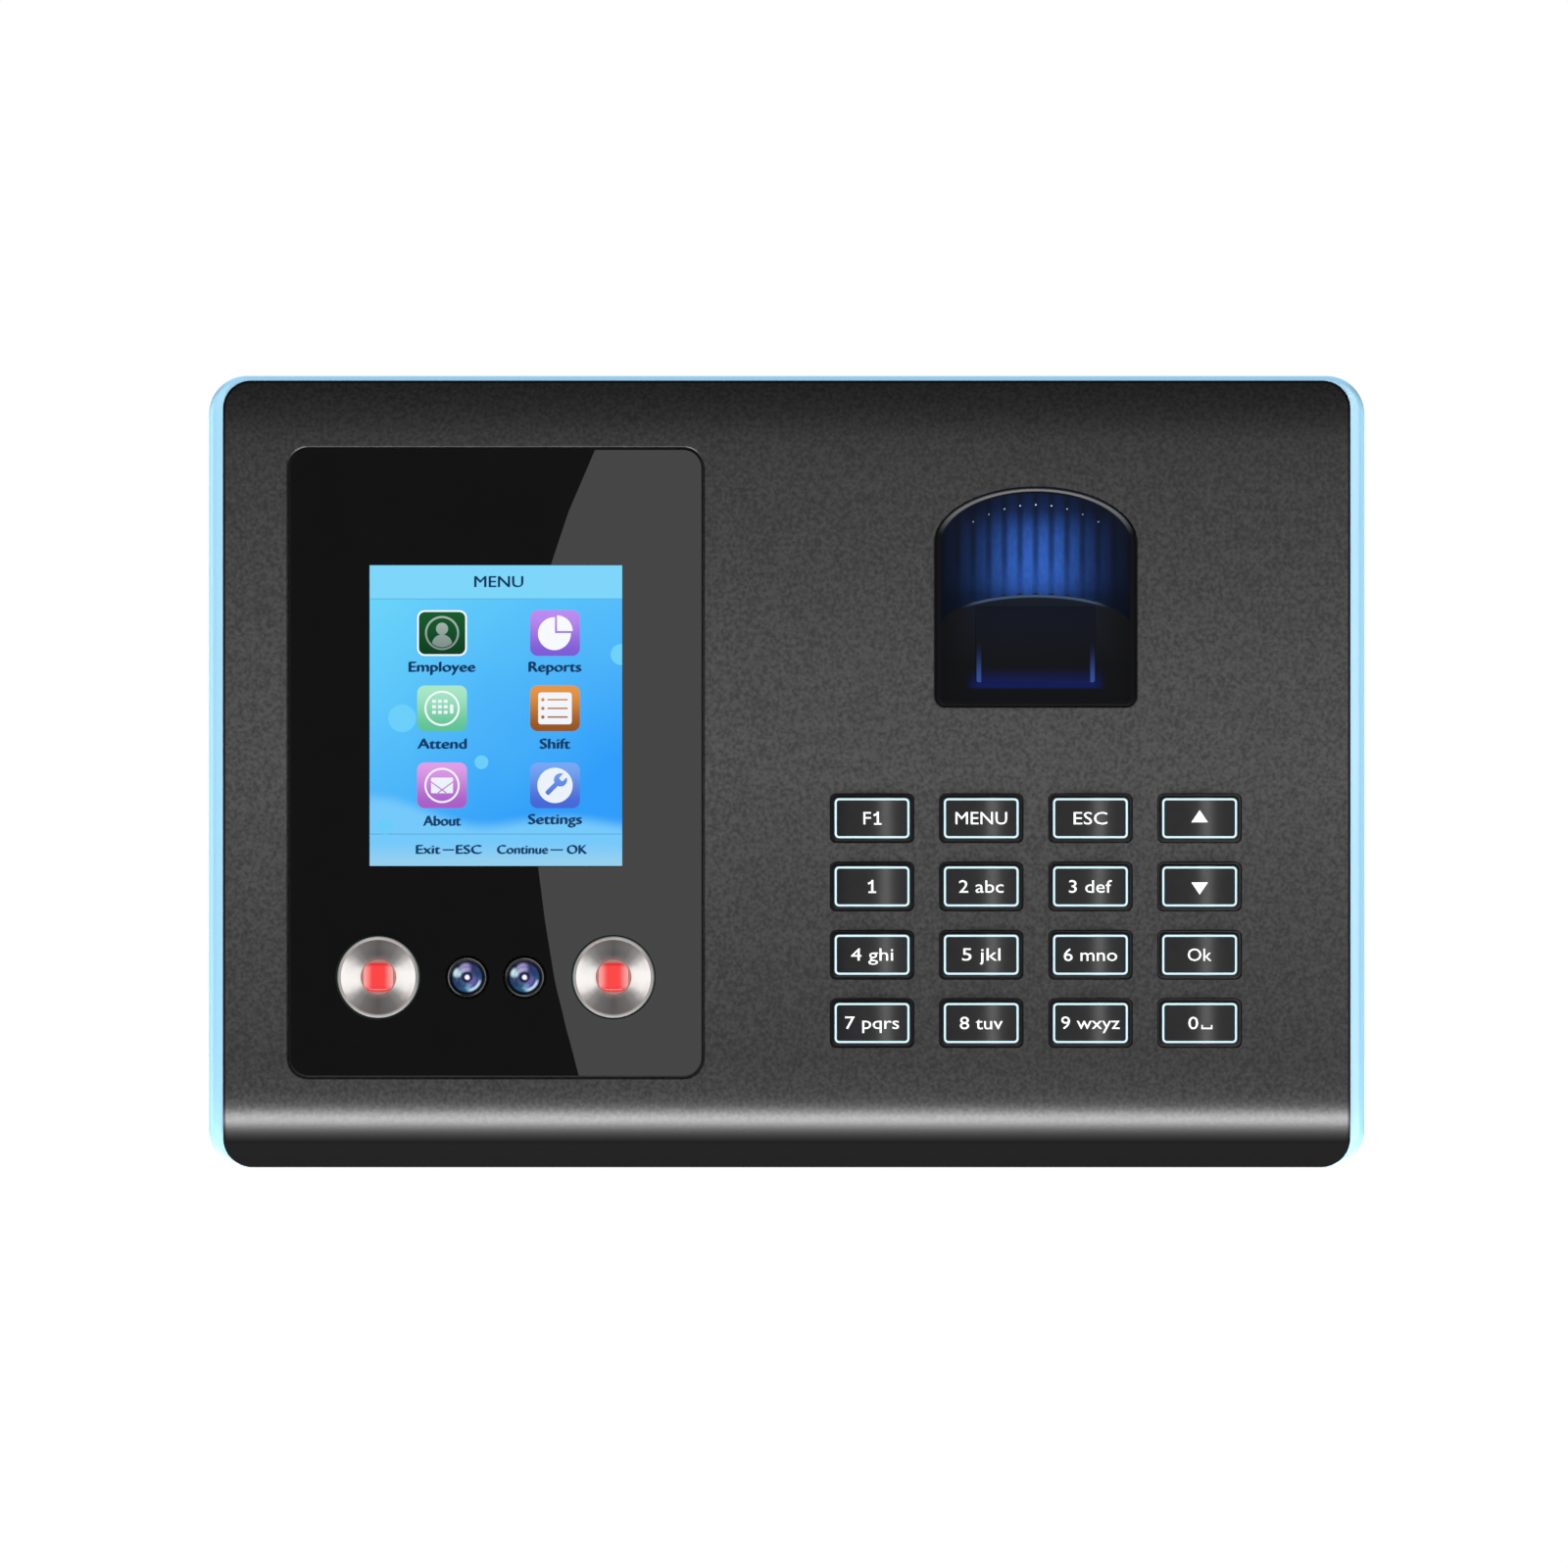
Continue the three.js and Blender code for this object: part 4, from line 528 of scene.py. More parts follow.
GLASS_X, GLASS_Z = (-72.05, -28.35), (-16.45, 35.65)  # the window over the display
sheet = block((-85.9, -14.5), (32.4, 33.9), (-52.7, 55.7), 3.4, 14)
soften(sheet, creases(sheet, 60, lambda p: p.y < -33.8), 0.22, 3)
sheet = worked(sheet, "DIFFERENCE",
               gathered(*[rod(x, EYES_Z, LAMP_HOLE, (30, 36), 64) for x in LAMP_XS],
                        *[rod(x, EYES_Z, CAMERA_HOLE, (30, 36), 48) for x in CAMERA_XS]))
for at, way in ((GLASS_X[0], (1, 0, 0)), (GLASS_X[1], (1, 0, 0)), (GLASS_Z[0], (0, 0, 1)),
                (GLASS_Z[1], (0, 0, 1))):
    bmesh.ops.bisect_plane(sheet, geom=sheet.verts[:] + sheet.edges[:] + sheet.faces[:], dist=1e-4,
                           plane_co=tuple(at * w for w in way), plane_no=way)
for side in sheet.faces:
    middle = side.calc_center_median()
    if abs(side.normal.y) < 0.995:
        side.material_index = 2
    elif GLASS_X[0] < middle.x < GLASS_X[1] and GLASS_Z[0] < middle.z < GLASS_Z[1]:
        side.material_index = 1

flow, where = material("panel_black")
scuff = noise(flow, where, 0.12, 3.0, 0.6)
panel_black = finished(flow, {
    "Base Color": scuff.colour((0.0018, 0.0018, 0.0019, 1), (0.0030, 0.0030, 0.0031, 1)),
    "Roughness": 0.001 + 0.003 * scuff, "Specular IOR Level": 1.0, "Coat Weight": 0.9,
    "Coat Roughness": 0.001})
cut_edge = speckled("cut_edge", 1.0, (0.004, 0.004, 0.004, 1), (0.008, 0.008, 0.008, 1), 0.4, 0.1, 3.0,
                    {"Specular IOR Level": 0.1})
flow, where = material("panel_window")
clear = flow.node("ShaderNodeBsdfTransparent")
shine = flow.node("ShaderNodeBsdfGlossy", {}, {"Roughness": 0.004})
gloss = flow.node("ShaderNodeFresnel", {}, {"IOR": 1.12})
both = flow.node("ShaderNodeMixShader", {}, {0: gloss, 1: clear, 2: shine})
flow.node("ShaderNodeOutputMaterial", {}, {"Surface": both})
panel_window = flow.material
placed(sheet, "window_panel", "terminal", [panel_black, panel_window, cut_edge],
       ["panel_glass"])

# ---------------------------------------------------------------- display
# A 2.8-inch colour display, lit from behind, in a folded steel tray. Its picture is a menu of six tiles on
# a blue ground, drawn as layers of the lit film a few hundredths of a millimetre thick.

LEFT, RIGHT, LOW, HIGH = -72.0, -28.4, -16.3, 35.6


def lettering(words, x, d, z, height, width=None, weight=0.0, thick=0.03, steps=3):
    """Words as a solid with its face at a depth, centred, fitted to a width and thickened by a weight."""
    curve = bpy.data.curves.new("words", "FONT")
    curve.body, curve.size, curve.extrude = words, height, thick / 2
    curve.align_x, curve.align_y, curve.resolution_u = "LEFT", "BOTTOM_BASELINE", steps
    writing = bpy.data.objects.new("words", curve)
    bpy.context.collection.objects.link(writing)
    bpy.context.view_layer.update()
    mesh = bpy.data.meshes.new_from_object(writing.evaluated_get(bpy.context.evaluated_depsgraph_get()))
    made = bmesh.new()
    made.from_mesh(mesh)
    bpy.data.objects.remove(writing)
    bpy.data.curves.remove(curve)
    bpy.data.meshes.remove(mesh)
    bmesh.ops.remove_doubles(made, verts=made.verts[:], dist=1e-4)
    across = [v.co.x for v in made.verts]
    tall = [v.co.y for v in made.verts]
    middle = ((min(across) + max(across)) / 2, (min(tall) + max(tall)) / 2)
    bmesh.ops.translate(made, vec=(-middle[0], -middle[1], 0), verts=made.verts)
    if width:
        bmesh.ops.scale(made, vec=((width - weight) / (max(across) - min(across)), 1, 1), verts=made.verts)
    bmesh.ops.rotate(made, cent=(0, 0, 0), matrix=Matrix.Rotation(math.radians(90), 3, "X"), verts=made.verts)
    bmesh.ops.translate(made, vec=(x - weight / 2, -(d - thick / 2), z), verts=made.verts)
    if not weight:
        return made
    beside = made.copy()
    bmesh.ops.translate(beside, vec=(weight, 0, 0.45 * weight), verts=beside.verts)
    return worked(made, "UNION", beside)


def inked(made, index):
    for side in made.faces:
        side.material_index = index
    return made


def turned(made, x, z, degrees):
    """Turns a bmesh in the front view about a point."""
    bmesh.ops.rotate(made, cent=(x, 0, z), matrix=Matrix.Rotation(math.radians(degrees), 3, "Y"),
                     verts=made.verts)
    return made


def hoop(x, z, outer, inner, d, sides=40):
    return worked(rod(x, z, outer, d, sides), "DIFFERENCE", rod(x, z, inner, (d[0] - 1, d[1] + 1), sides))


def lit(name, first, second, low, high, strength=1.0, axis=2):
    """A lit film whose colour runs between two colours over a stretch of height or width."""
    flow, where = material(name)
    run = axes(flow, where)[axis].rise(low, high)
    return finished(flow, {"Base Color": (0.0, 0.0, 0.0, 1), "Roughness": 0.5, "Specular IOR Level": 0.0,
                           "Emission Color": run.colour(srgb(*first), srgb(*second)),
                           "Emission Strength": strength})


flow, where = material("picture_ground")
across, out, up = axes(flow, where)
wave = noise(flow, millimetres(flow, unit=(0.001, 0.001, 0.0016)), 0.055, 2.0, 0.5)
light = (0.2 + 0.0173 * (up + 2) - 0.0125 * (across + 50) + 0.25 * (wave - 0.5)).clear()
ground = light.colour(srgb(46, 158, 250), srgb(106, 212, 250))
crest = up + 8.2 - 3.6 * (across * -1 - 50).rise(0, 22) + 0.8 * (across * 0.2).sum("SINE", across * 0.2)
ground = (1 - crest.rise(-2.2, 0.8)).colour(ground, srgb(118, 202, 251))
ground = (1 - up.rise(-16, -12)).colour(ground, srgb(150, 208, 240))
ground = (up > 29.9).colour(ground, srgb(126, 214, 250))
picture_ground = finished(flow, {"Base Color": (0, 0, 0, 1), "Roughness": 0.4, "Specular IOR Level": 0.0,
                                 "Emission Color": ground, "Emission Strength": 1.0})
picture_ink = lit("picture_ink", (24, 62, 104), (20, 54, 96), -20, 40)
picture_white = lit("picture_white", (232, 240, 250), (250, 252, 255), -20, 40)
picture_line = lit("picture_line", (88, 170, 214), (96, 184, 226), -20, 40)
picture_bubble = lit("picture_bubble", (108, 204, 250), (110, 212, 250), -20, 40)
tile_green = lit("tile_green", (16, 66, 34), (24, 92, 46), 20, 28)
tile_purple = lit("tile_purple", (126, 92, 214), (190, 140, 240), 20, 28)
tile_mint = lit("tile_mint", (96, 196, 150), (170, 232, 200), 7, 15)
tile_orange = lit("tile_orange", (150, 84, 34), (232, 150, 70), 7, 15)
tile_lilac = lit("tile_lilac", (170, 96, 200), (226, 160, 232), -6, 2)
tile_blue = lit("tile_blue", (70, 104, 214), (120, 168, 244), -6, 2)
glyph_grey = lit("glyph_grey", (120, 140, 134), (170, 186, 180), 20, 28)
display_glass = speckled("display_glass", 0.3, (0.004, 0.004, 0.005, 1), (0.007, 0.007, 0.009, 1), 0.12)
INKS = [display_glass, picture_ground, picture_ink, picture_white, picture_line, picture_bubble, tile_green,
        tile_purple, tile_mint, tile_orange, tile_lilac, tile_blue, glyph_grey]
GLASS, GROUND, INK, WHITE, LINE, BUBBLE, GREEN, PURPLE, MINT, ORANGE, LILAC, BLUE, GREY = range(13)


def film(level, thick=0.03):
    """The depths between which one layer of the picture lies."""
    return (30.08 + 0.03 * level - thick, 30.08 + 0.03 * level)


cell = block((-74.1, -26.3), (28.4, 30.04), (-18.4, 37.7), 0.4, 2)
parts = []


def draw(ink, *shapes):
    """Adds shapes to the picture in one ink."""
    parts.extend(inked(shape, ink) for shape in shapes)


draw(GLASS, cell)
draw(GROUND, block((LEFT, RIGHT), film(0), (LOW, HIGH)))
draw(LINE, *[block((LEFT + 0.1, RIGHT - 0.1), film(1), (z - 0.08, z + 0.08)) for z in (29.8, -10.8)])
draw(BUBBLE, *[rod(x, z, r, film(1), 40) for x, z,
               r in ((-66.4, 9.2, 2.4), (-52.7, 1.6, 1.2), (-69.3, -9.4, 1.5))])
draw(BUBBLE, worked(rod(-28.6, 20.2, 1.8, film(1), 40), "INTERSECT",
                    block((-32, RIGHT - 0.02), (29, 31), (15, 25))))
draw(INK, lettering("MENU", -49.7, film(2)[1], 32.75, 2.75, 8.5, 0.10))
TILES = [(-59.5, 23.9, GREEN, "Employee", 11.6), (-40.0, 23.9, PURPLE, "Reports", 9.2),
         (-59.5, 10.9, MINT, "Attend", 8.6),
         (-40.0, 10.9, ORANGE, "Shift", 5.4), (-59.5, -2.4, LILAC, "About", 6.6),
         (-40.0, -2.4, BLUE, "Settings", 9.4)]
for x, z, tone, label, wide in TILES:
    draw(WHITE if tone == GREEN else tone, centred(x, z, 4.3, 3.95, film(1), 1.3, 6))
    if tone == GREEN:
        draw(tone, centred(x, z, 4.0, 3.65, film(2), 1.05, 6))
    draw(INK, lettering(label, x, film(2)[1], z - 6.15, 2.5, wide, 0.22))
for words, x, wide in (("Exit", -61.9, 4.3), ("ESC", -54.9, 4.5), ("Continue", -45.6, 8.9), ("OK", -36.2, 3.6)):
    draw(INK, lettering(words, x, film(2)[1], -13.5, 2.2, wide, 0.2))
draw(INK, *[block(ends, film(2), (-13.65, -13.4)) for ends in ((-59.4, -57.4), (-40.8, -38.6))])

x, z = -59.5, 23.9  # a person in a ring
draw(GREY, hoop(x, z, 2.95, 2.6, film(3)))
draw(GREY, rod(x, z + 0.75, 1.05, film(3), 28))
draw(GREY, worked(rod(x, z - 2.0, 1.75, film(3), 36), "INTERSECT", rod(x, z, 2.45, (29, 31), 40)))
x, z = -40.0, 23.9  # a pie with one quarter drawn out
draw(WHITE, worked(rod(x - 0.1, z - 0.1, 2.85, film(2), 48), "DIFFERENCE",
                   block((x, x + 5), (29, 31), (z, z + 5))))
draw(WHITE, worked(rod(x + 0.35, z + 0.35, 2.7, film(2), 48), "INTERSECT",
                   block((x + 0.35, x + 5), (29, 31), (z + 0.35, z + 5))))
x, z = -59.5, 10.9  # keys in a ring
draw(WHITE, hoop(x, z, 3.05, 2.7, film(2)))
draw(WHITE, *[block((x - 1.7 + i, x - 1.05 + i), film(2), (z + 0.95 - 0.95 * j, z + 1.5 - 0.95 * j), 0.1, 2)
              for i in range(3) for j in range(3)])
draw(WHITE, block((x + 1.35, x + 1.95), film(2), (z - 0.9, z + 0.7), 0.2, 2))
x, z = -40.0, 10.9  # a list with three lines
draw(WHITE, centred(x, z, 2.9, 2.75, film(2), 0.45, 3))
for j in (-1, 0, 1):
    draw(ORANGE, block((x - 1.3, x + 2.2), film(3), (z + 1.5 * j - 0.14, z + 1.5 * j + 0.14)))
    draw(ORANGE, rod(x - 2.1, z + 1.5 * j, 0.3, film(3), 20))
x, z = -59.5, -2.4  # an envelope in a ring
draw(WHITE, hoop(x, z, 3.05, 2.7, film(2)))
draw(WHITE, worked(centred(x, z, 1.9, 1.35, film(2), 0.15, 2), "DIFFERENCE",
                          turned(block((x - 1.15, x - 0.95), (29, 31), (z - 2.2, z + 2.4)), x - 1.05, z, -54),
                          turned(block((x + 0.95, x + 1.15), (29, 31), (z - 2.2, z + 2.4)), x + 1.05, z, 54)))
x, z = -40.0, -2.4  # a spanner on a disc
draw(WHITE, rod(x, z, 3.05, film(2), 48))
shaft = worked(turned(block((x - 0.42, x + 0.42), film(3), (z - 2.1, z + 1.0), 0.3, 3), x, z, 45), "UNION",
               rod(x + 0.95, z + 0.95, 1.15, film(3), 32))
draw(BLUE, worked(shaft, "DIFFERENCE",
                  turned(block((x - 0.42, x + 0.42), (29, 31), (z + 1.35, z + 3.2), 0.2, 2), x, z, 45)))
placed(gathered(*parts), "display_picture", "terminal", INKS, ["lcd_panel"], even=False)

flow, where = material("bright_steel")
rub = noise(flow, millimetres(flow, unit=(0.001, 0.001, 0.02)), 2.0, 2.0)
bright_steel = finished(flow, {"Base Color": rub.colour((0.44, 0.44, 0.45, 1), (0.62, 0.62, 0.63, 1)),
                               "Metallic": 1.0,
                               "Roughness": 0.24 + 0.2 * rub, "Normal": rub.bump(0.00001, 0.3)})
flow, where = material("flex_amber")
across, out, up = axes(flow, where)
tracks = (across * 6.0).sum("SINE", across * 6.0).rise(0.1, 0.4)
flex_amber = finished(flow, {"Base Color": tracks.colour((0.36, 0.15, 0.02, 1), (0.50, 0.24, 0.05, 1)),
                             "Roughness": 0.3 + 0.1 * tracks})


def dressed(node, finish, bevel=0.0):
    """Gives a carried-over part its finish, and rounds its edges."""
    part = nodes[node]
    part.data.materials.clear()
    part.data.materials.append(finish)
    if bevel:
        edge = part.modifiers.new("edge", "BEVEL")
        edge.width, edge.segments = bevel / 1000, 2
        edge.limit_method, edge.angle_limit = "ANGLE", math.radians(50)


dressed("lcd_frame", bright_steel)
dressed("lcd_flex", flex_amber)

# ---------------------------------------------------------------- lamps
# Two infrared lamps: a cone turned in spring steel with its tool marks left on, a polished rim, and a red
# epoxy LED standing in the middle. They light a face for the cameras, and press into the front cover.


def spun(profile, x, z, steps=64):
    """A profile of (radius, depth) turned about an axis that stands out from the wall."""
    made = bmesh.new()
    line = [made.verts.new((x + r, -d, z)) for r, d in profile]
    edges = [made.edges.new((line[i], line[i + 1])) for i in range(len(line) - 1)]
    if profile[0][0] > 0 or profile[-1][0] > 0:
        edges.append(made.edges.new((line[-1], line[0])))
    bmesh.ops.spin(made, geom=line + edges, cent=(x, 0, z), axis=(0, 1, 0), angle=2 * math.pi, steps=steps,
                   use_merge=True)
    bmesh.ops.remove_doubles(made, verts=made.verts[:], dist=1e-4)
    bmesh.ops.dissolve_degenerate(made, dist=1e-5, edges=made.edges[:])
    bmesh.ops.recalc_face_normals(made, faces=made.faces[:])
    return made


# Painted light on each cone: the bright wedges either side of the LED are a painted highlight, and the red tint
# near the throat is a painted reflection of the LED. The cone glows with both, though it is no lamp.
PAINTED_HIGHLIGHT_WEDGE = [(0.0, 0.10), (0.5, 0.16), (0.72, 0.27), (0.84, 0.50), (0.93, 0.85), (1.0, 1.0)]
for side, x in zip(("left", "right"), LAMP_XS):
    flow, where = material("brushed_cone_" + side)
    across, out, up = axes(flow, millimetres(flow, (x, 0, EYES_Z)))
    radius = (across * across + up * up).sum("SQRT", across * across + up * up)
    sideways = abs(across / radius) + 0.10 * (noise(flow, millimetres(flow, (x, 0, EYES_Z)), 0.5, 1.0) - 0.5)
    painted_highlight_wedge = flow.node("ShaderNodeValToRGB", {"stops": [(c, (v, v, 0.97 * v, 1)) for c, v in PAINTED_HIGHLIGHT_WEDGE]},
                      {"Fac": sideways})
    rings = (radius * 40.0).sum("SINE", radius * 40.0)
    tone = (radius.rise(2.6, 4.0) * -0.22 + 0.22).colour(painted_highlight_wedge, (0.80, 0.35, 0.32, 1))
    cone_steel_painted_light = finished(flow, {"Base Color": 0.12 * tone, "Metallic": 1.0, "Roughness": 0.38 + 0.05 * rings,
                                 "Emission Color": tone, "Emission Strength": 0.88,
                                 "Normal": rings.bump(0.000012, 0.4)})
    flow, where = material("polished_rim_" + side)
    # Painted glints: the rim glows in bright and dark patches, a painted highlight on the polished steel.
    painted_glint_patches = noise(flow, where, 0.15).colour((0.05, 0.05, 0.05, 1), (0.9, 0.9, 0.9, 1))
    steel = noise(flow, where, 1.0).colour((0.16, 0.16, 0.16, 1), (0.24, 0.24, 0.24, 1))
    rim_steel_painted_glint = finished(flow, {"Base Color": steel,
                                "Metallic": 1.0, "Roughness": 0.34 + 0.08 * noise(flow, where, 3.0),
                                "Emission Color": painted_glint_patches, "Emission Strength": 0.5})
    cone = spun([(3.1, 27.3), (7.0, 27.3), (7.0, 34.1), (6.85, 34.3), (6.6, 34.3), (6.45, 34.1), (6.4, 33.9),
                 (6.2, 33.5), (5.4, 32.4),
                 (4.4, 31.1), (3.6, 30.1), (3.1, 29.3)], x, EYES_Z, 96)
    for facet in cone.faces:
        middle = facet.calc_center_median()
        reach = math.hypot(middle.x - x, middle.z - EYES_Z)
        facet.material_index = 1 if reach > 6.48 else 0
    placed(cone, "lamp_cone_" + side, "terminal", [cone_steel_painted_light, rim_steel_painted_glint],
           ["lamp_reflector_" + side], sharp=40)

    flow, where = material("red_epoxy_" + side)
    across, out, up = axes(flow, millimetres(flow, (x, 0, EYES_Z)))
    side_on = abs(across).rise(0.9, 2.3) * (1 - abs(up).rise(1.6, 2.5))
    glow = (0.7 * side_on).colour(srgb(245, 62, 60), srgb(252, 200, 196))
    glow = (0.75 * (up * -1.0).rise(1.3, 2.3)).colour(glow, srgb(190, 60, 54))
    glow = (out * -1.0).rise(31.0, 32.3).colour((0.44, 0.26, 0.24, 1), glow)
    red_epoxy = finished(flow, {"Base Color": (0.22, 0.01, 0.01, 1),
                                "Roughness": 0.15 + 0.15 * noise(flow, where, 1.5), "Emission Color": glow,
                                "Emission Strength": 0.73, "Specular IOR Level": 0.25})
    dome = centred(x, EYES_Z, 2.5, 2.5, (28, 32.9), 1.5, 6)
    soften(dome, creases(dome, 60, lambda p: p.y < -32.8), 0.7, 4)
    dome = worked(dome, "UNION", rod(x, EYES_Z, 3.06, (27.0, 29.0), 64))
    placed(dome, "lamp_dome_" + side, "terminal", [red_epoxy], ["lamp_led_" + side])

# ---------------------------------------------------------------- cameras
# A pair of small cameras, one for visible light and one for infrared. Each has a turned black barrel with a
# stepped mouth, a retaining ring, and a coated lens over the dark iris.

# Painted glints on each lens: where each lies across and up, its reach, how strong it is, and its colour.
GLINTS = [((0.9, -0.9), 1.6, 0.75, (104, 84, 172)), ((-0.3, 1.6), 1.3, 0.85, (168, 156, 212)),
          ((-1.75, 0.75), 1.1, 0.95, (196, 232, 238)),
          ((-0.9, 1.3), 0.8, 0.7, (168, 176, 216)), ((0.4, -1.9), 1.0, 0.9, (92, 156, 196)),
          ((0.45, -0.45), 0.5, 0.8, (150, 140, 200)),
          ((1.9, 0.6), 0.8, 0.5, (30, 60, 110)), ((-1.6, -1.2), 0.9, 0.5, (20, 50, 78))]
for side, x in zip(("left", "right"), CAMERA_XS):
    barrel_black = speckled("barrel_black_" + side, 1.2, (0.004, 0.004, 0.005, 1), (0.009, 0.009, 0.010, 1),
                            0.32, 0.12, 4.0, {"Specular IOR Level": 0.12})
    flow, where = material("barrel_edge_" + side)
    # The retaining ring's face is near black with patches of grey.
    grey_patches = ((noise(flow, where, 0.28, 1.0) - 0.5) * 4.0 + 0.4).clear()
    barrel_edge = finished(flow, {"Base Color": grey_patches.colour((0.010, 0.010, 0.011, 1), (0.15, 0.147, 0.138, 1)),
                                  "Metallic": 0.7, "Roughness": 0.35 + 0.1 * noise(flow, where, 2.0)})
    barrel = spun([(0, 27.0), (3.5, 27.0), (3.5, 33.5), (3.42, 33.7), (3.3, 33.8), (3.12, 33.8), (3.06, 33.72),
                   (2.98, 33.72), (2.92, 33.6),
                   (2.9, 33.3), (2.8, 33.2), (2.8, 31.2), (0, 31.2)], x, EYES_Z, 64)
    for facet in barrel.faces:
        middle = facet.calc_center_median()
        if -33.81 < middle.y < -33.6 and 3.1 < math.hypot(middle.x - x, middle.z - EYES_Z) < 3.28:
            facet.material_index = 1
    placed(barrel, "camera_tube_" + side, "terminal", [barrel_black, barrel_edge],
           ["camera_barrel_" + side], sharp=35)

    flow, where = material("coated_glass_" + side)
    across, out, up = axes(flow, millimetres(flow, (x, 0, EYES_Z)))
    radius = (across * across + up * up).sum("SQRT", across * across + up * up)
    swirl = noise(flow, millimetres(flow, (x, 0, EYES_Z)), 0.9, 1.0)
    # Painted reflection: the lens glows though it is no lamp. Its blue and violet coating colour, the glints,
    # the pale crescent near its rim and the white dot in the middle are painted reflections.
    tint = (up * -0.22 + across * 0.10 + 0.5 + 0.7 * (swirl - 0.5)).clear()
    tint = tint.colour(srgb(44, 40, 96), srgb(38, 86, 128))
    for place, reach, amount, shade in GLINTS:
        gap = (across - place[0]) * (across - place[0]) + (up - place[1]) * (up - place[1])
        tint = (amount * (1 - gap.sum("SQRT", gap).rise(0.25 * reach, reach))).colour(tint, srgb(*shade))
    painted_crescent_highlight = radius.rise(1.95, 2.2) * (1 - radius.rise(2.5, 2.68))
    painted_crescent_highlight = painted_crescent_highlight * ((across * 0.66 - up * 0.75) / radius).rise(0.72, 0.97)
    tint = (0.9 * painted_crescent_highlight).colour(tint, srgb(200, 226, 246))
    hoops = (radius * 8.0).sum("SINE", radius * 8.0).rise(0.1, 1.0) * radius.rise(1.1, 1.3)
    tint = (0.38 * hoops).colour(tint, srgb(14, 18, 44))
    tint = (radius.rise(0.5, 0.62) * (1 - radius.rise(0.85, 1.05)) * 0.9).colour(tint, srgb(10, 12, 38))
    tint = radius.rise(2.5, 2.7).colour(tint, srgb(6, 8, 16))
    tint = (1 - radius.rise(0.3, 0.5)).colour(tint, srgb(236, 232, 250))
    coated_lens_painted_reflection = finished(flow, {"Base Color": 0.15 * tint, "Roughness": 0.05 + 0.05 * swirl,
                                   "Emission Color": tint, "Emission Strength": 0.95,
                                   "Specular IOR Level": 0.3})
    lens = [(0.0, 31.2), (2.7, 31.2), (2.7, 32.4), (2.45, 32.56), (2.1, 32.75), (1.6, 32.98), (1.1, 33.14),
            (0.55, 33.26), (0.0, 33.3)]
    placed(spun(lens, x, EYES_Z, 64), "camera_eye_" + side, "terminal", [coated_lens_painted_reflection],
           ["camera_lens_" + side], even=False)

flow, where = material("board_green")
weave = noise(flow, where, 0.9, 3.0)
copper = flow.node("ShaderNodeTexBrick", {"offset": 0.5}, {"Vector": where, "Scale": 0.35, "Mortar Size": 0.03},
                   1)
lacquer = (weave * 0.5 + copper * 0.5).clear()
board_green = finished(flow, {"Base Color": lacquer.colour((0.008, 0.055, 0.022, 1), (0.03, 0.14, 0.06, 1)),
                              "Roughness": 0.3 + 0.25 * weave, "Normal": copper.bump(0.00003, 0.3)})
dressed("camera_board", board_green)

# ---------------------------------------------------------------- fingerprint reader
# A black moulding let into the cover, with a recess that a finger slides into under a fluted hood. Blue light
# comes down the flutes, and the glass prism below it carries the print to the sensor on the board behind.

SLOPE = 17.5 / 9.0
FLUTES = [2.7 * k for k in range(-4, 5)]


def crown_height(dx, inset=0.9):
    """How high the arch stands at a distance from its middle."""
    return 39.6 + (9.3 - inset) * math.sqrt(max(0.0, 1 - (dx / (17.2 - inset)) ** 2))


def sheared(made):
    """Slides a bmesh down as it goes back into the case, as the hood does."""
    slide = Matrix(((1, 0, 0, 0), (0, 1, 0, 0), (0, -SLOPE, 1, -SLOPE * 34), (0, 0, 0, 1)))
    bmesh.ops.transform(made, matrix=slide, verts=made.verts)
    return made


bezel = worked(arch(0, (20.5, 34.0)), "UNION", arch(-1.8, (30.5, 31.3)))
soften(bezel, creases(bezel, 60, lambda p: p.y < -33.9), 0.25, 3)
hood = worked(sheared(arch(0.9, (17, 37), -26)), "UNION",
              *[sheared(rod(READER_X + dx, crown_height(dx) - 0.1, 0.62, (16, 38), 20)) for dx in FLUTES])
above = side_view([(30.6, 12.3), (21.37, 42.3), (21.37, 60), (40, 60), (40, 12.3)],
                  (READER_X - 30, READER_X + 30))
recess = worked(hood, "INTERSECT", above, mouthed(arch(0.9, (17, 33.9)), 0.6, 0.35))
bezel = worked(bezel, "DIFFERENCE", recess)
TILT = math.atan((30.6 - 25.0) / (30.5 - 12.3))


def on_floor(width, height, low, high, corner=0.3):
    """A block on the sloping floor of the recess, between two levels out of it."""
    made = block((-width / 2, width / 2), (low, high), (3.2, 3.2 + height), corner, 3)
    bmesh.ops.rotate(made, cent=(0, 0, 0), matrix=Matrix.Rotation(-TILT, 3, "X"), verts=made.verts)
    bmesh.ops.translate(made, vec=(READER_X, -30.6, 12.3), verts=made.verts)
    return made


bezel = worked(bezel, "DIFFERENCE", on_floor(20.76, 13.75, -14, 2))

for side in bezel.faces:
    at = side.calc_center_median()
    dx = at.x - READER_X
    if at.y < -33.72:
        side.material_index = 2
    elif (-33.6 < at.y < -22 and abs(dx) < 16.6 and at.z > 20 and side.normal.z > -0.85
          and at.z + SLOPE * (34 + at.y) > crown_height(dx) - 0.3):
        side.material_index = 1

flow, where = material("reader_black")
across, out, up = axes(flow, millimetres(flow, (READER_X, 0, 0)))
wide = abs(across)
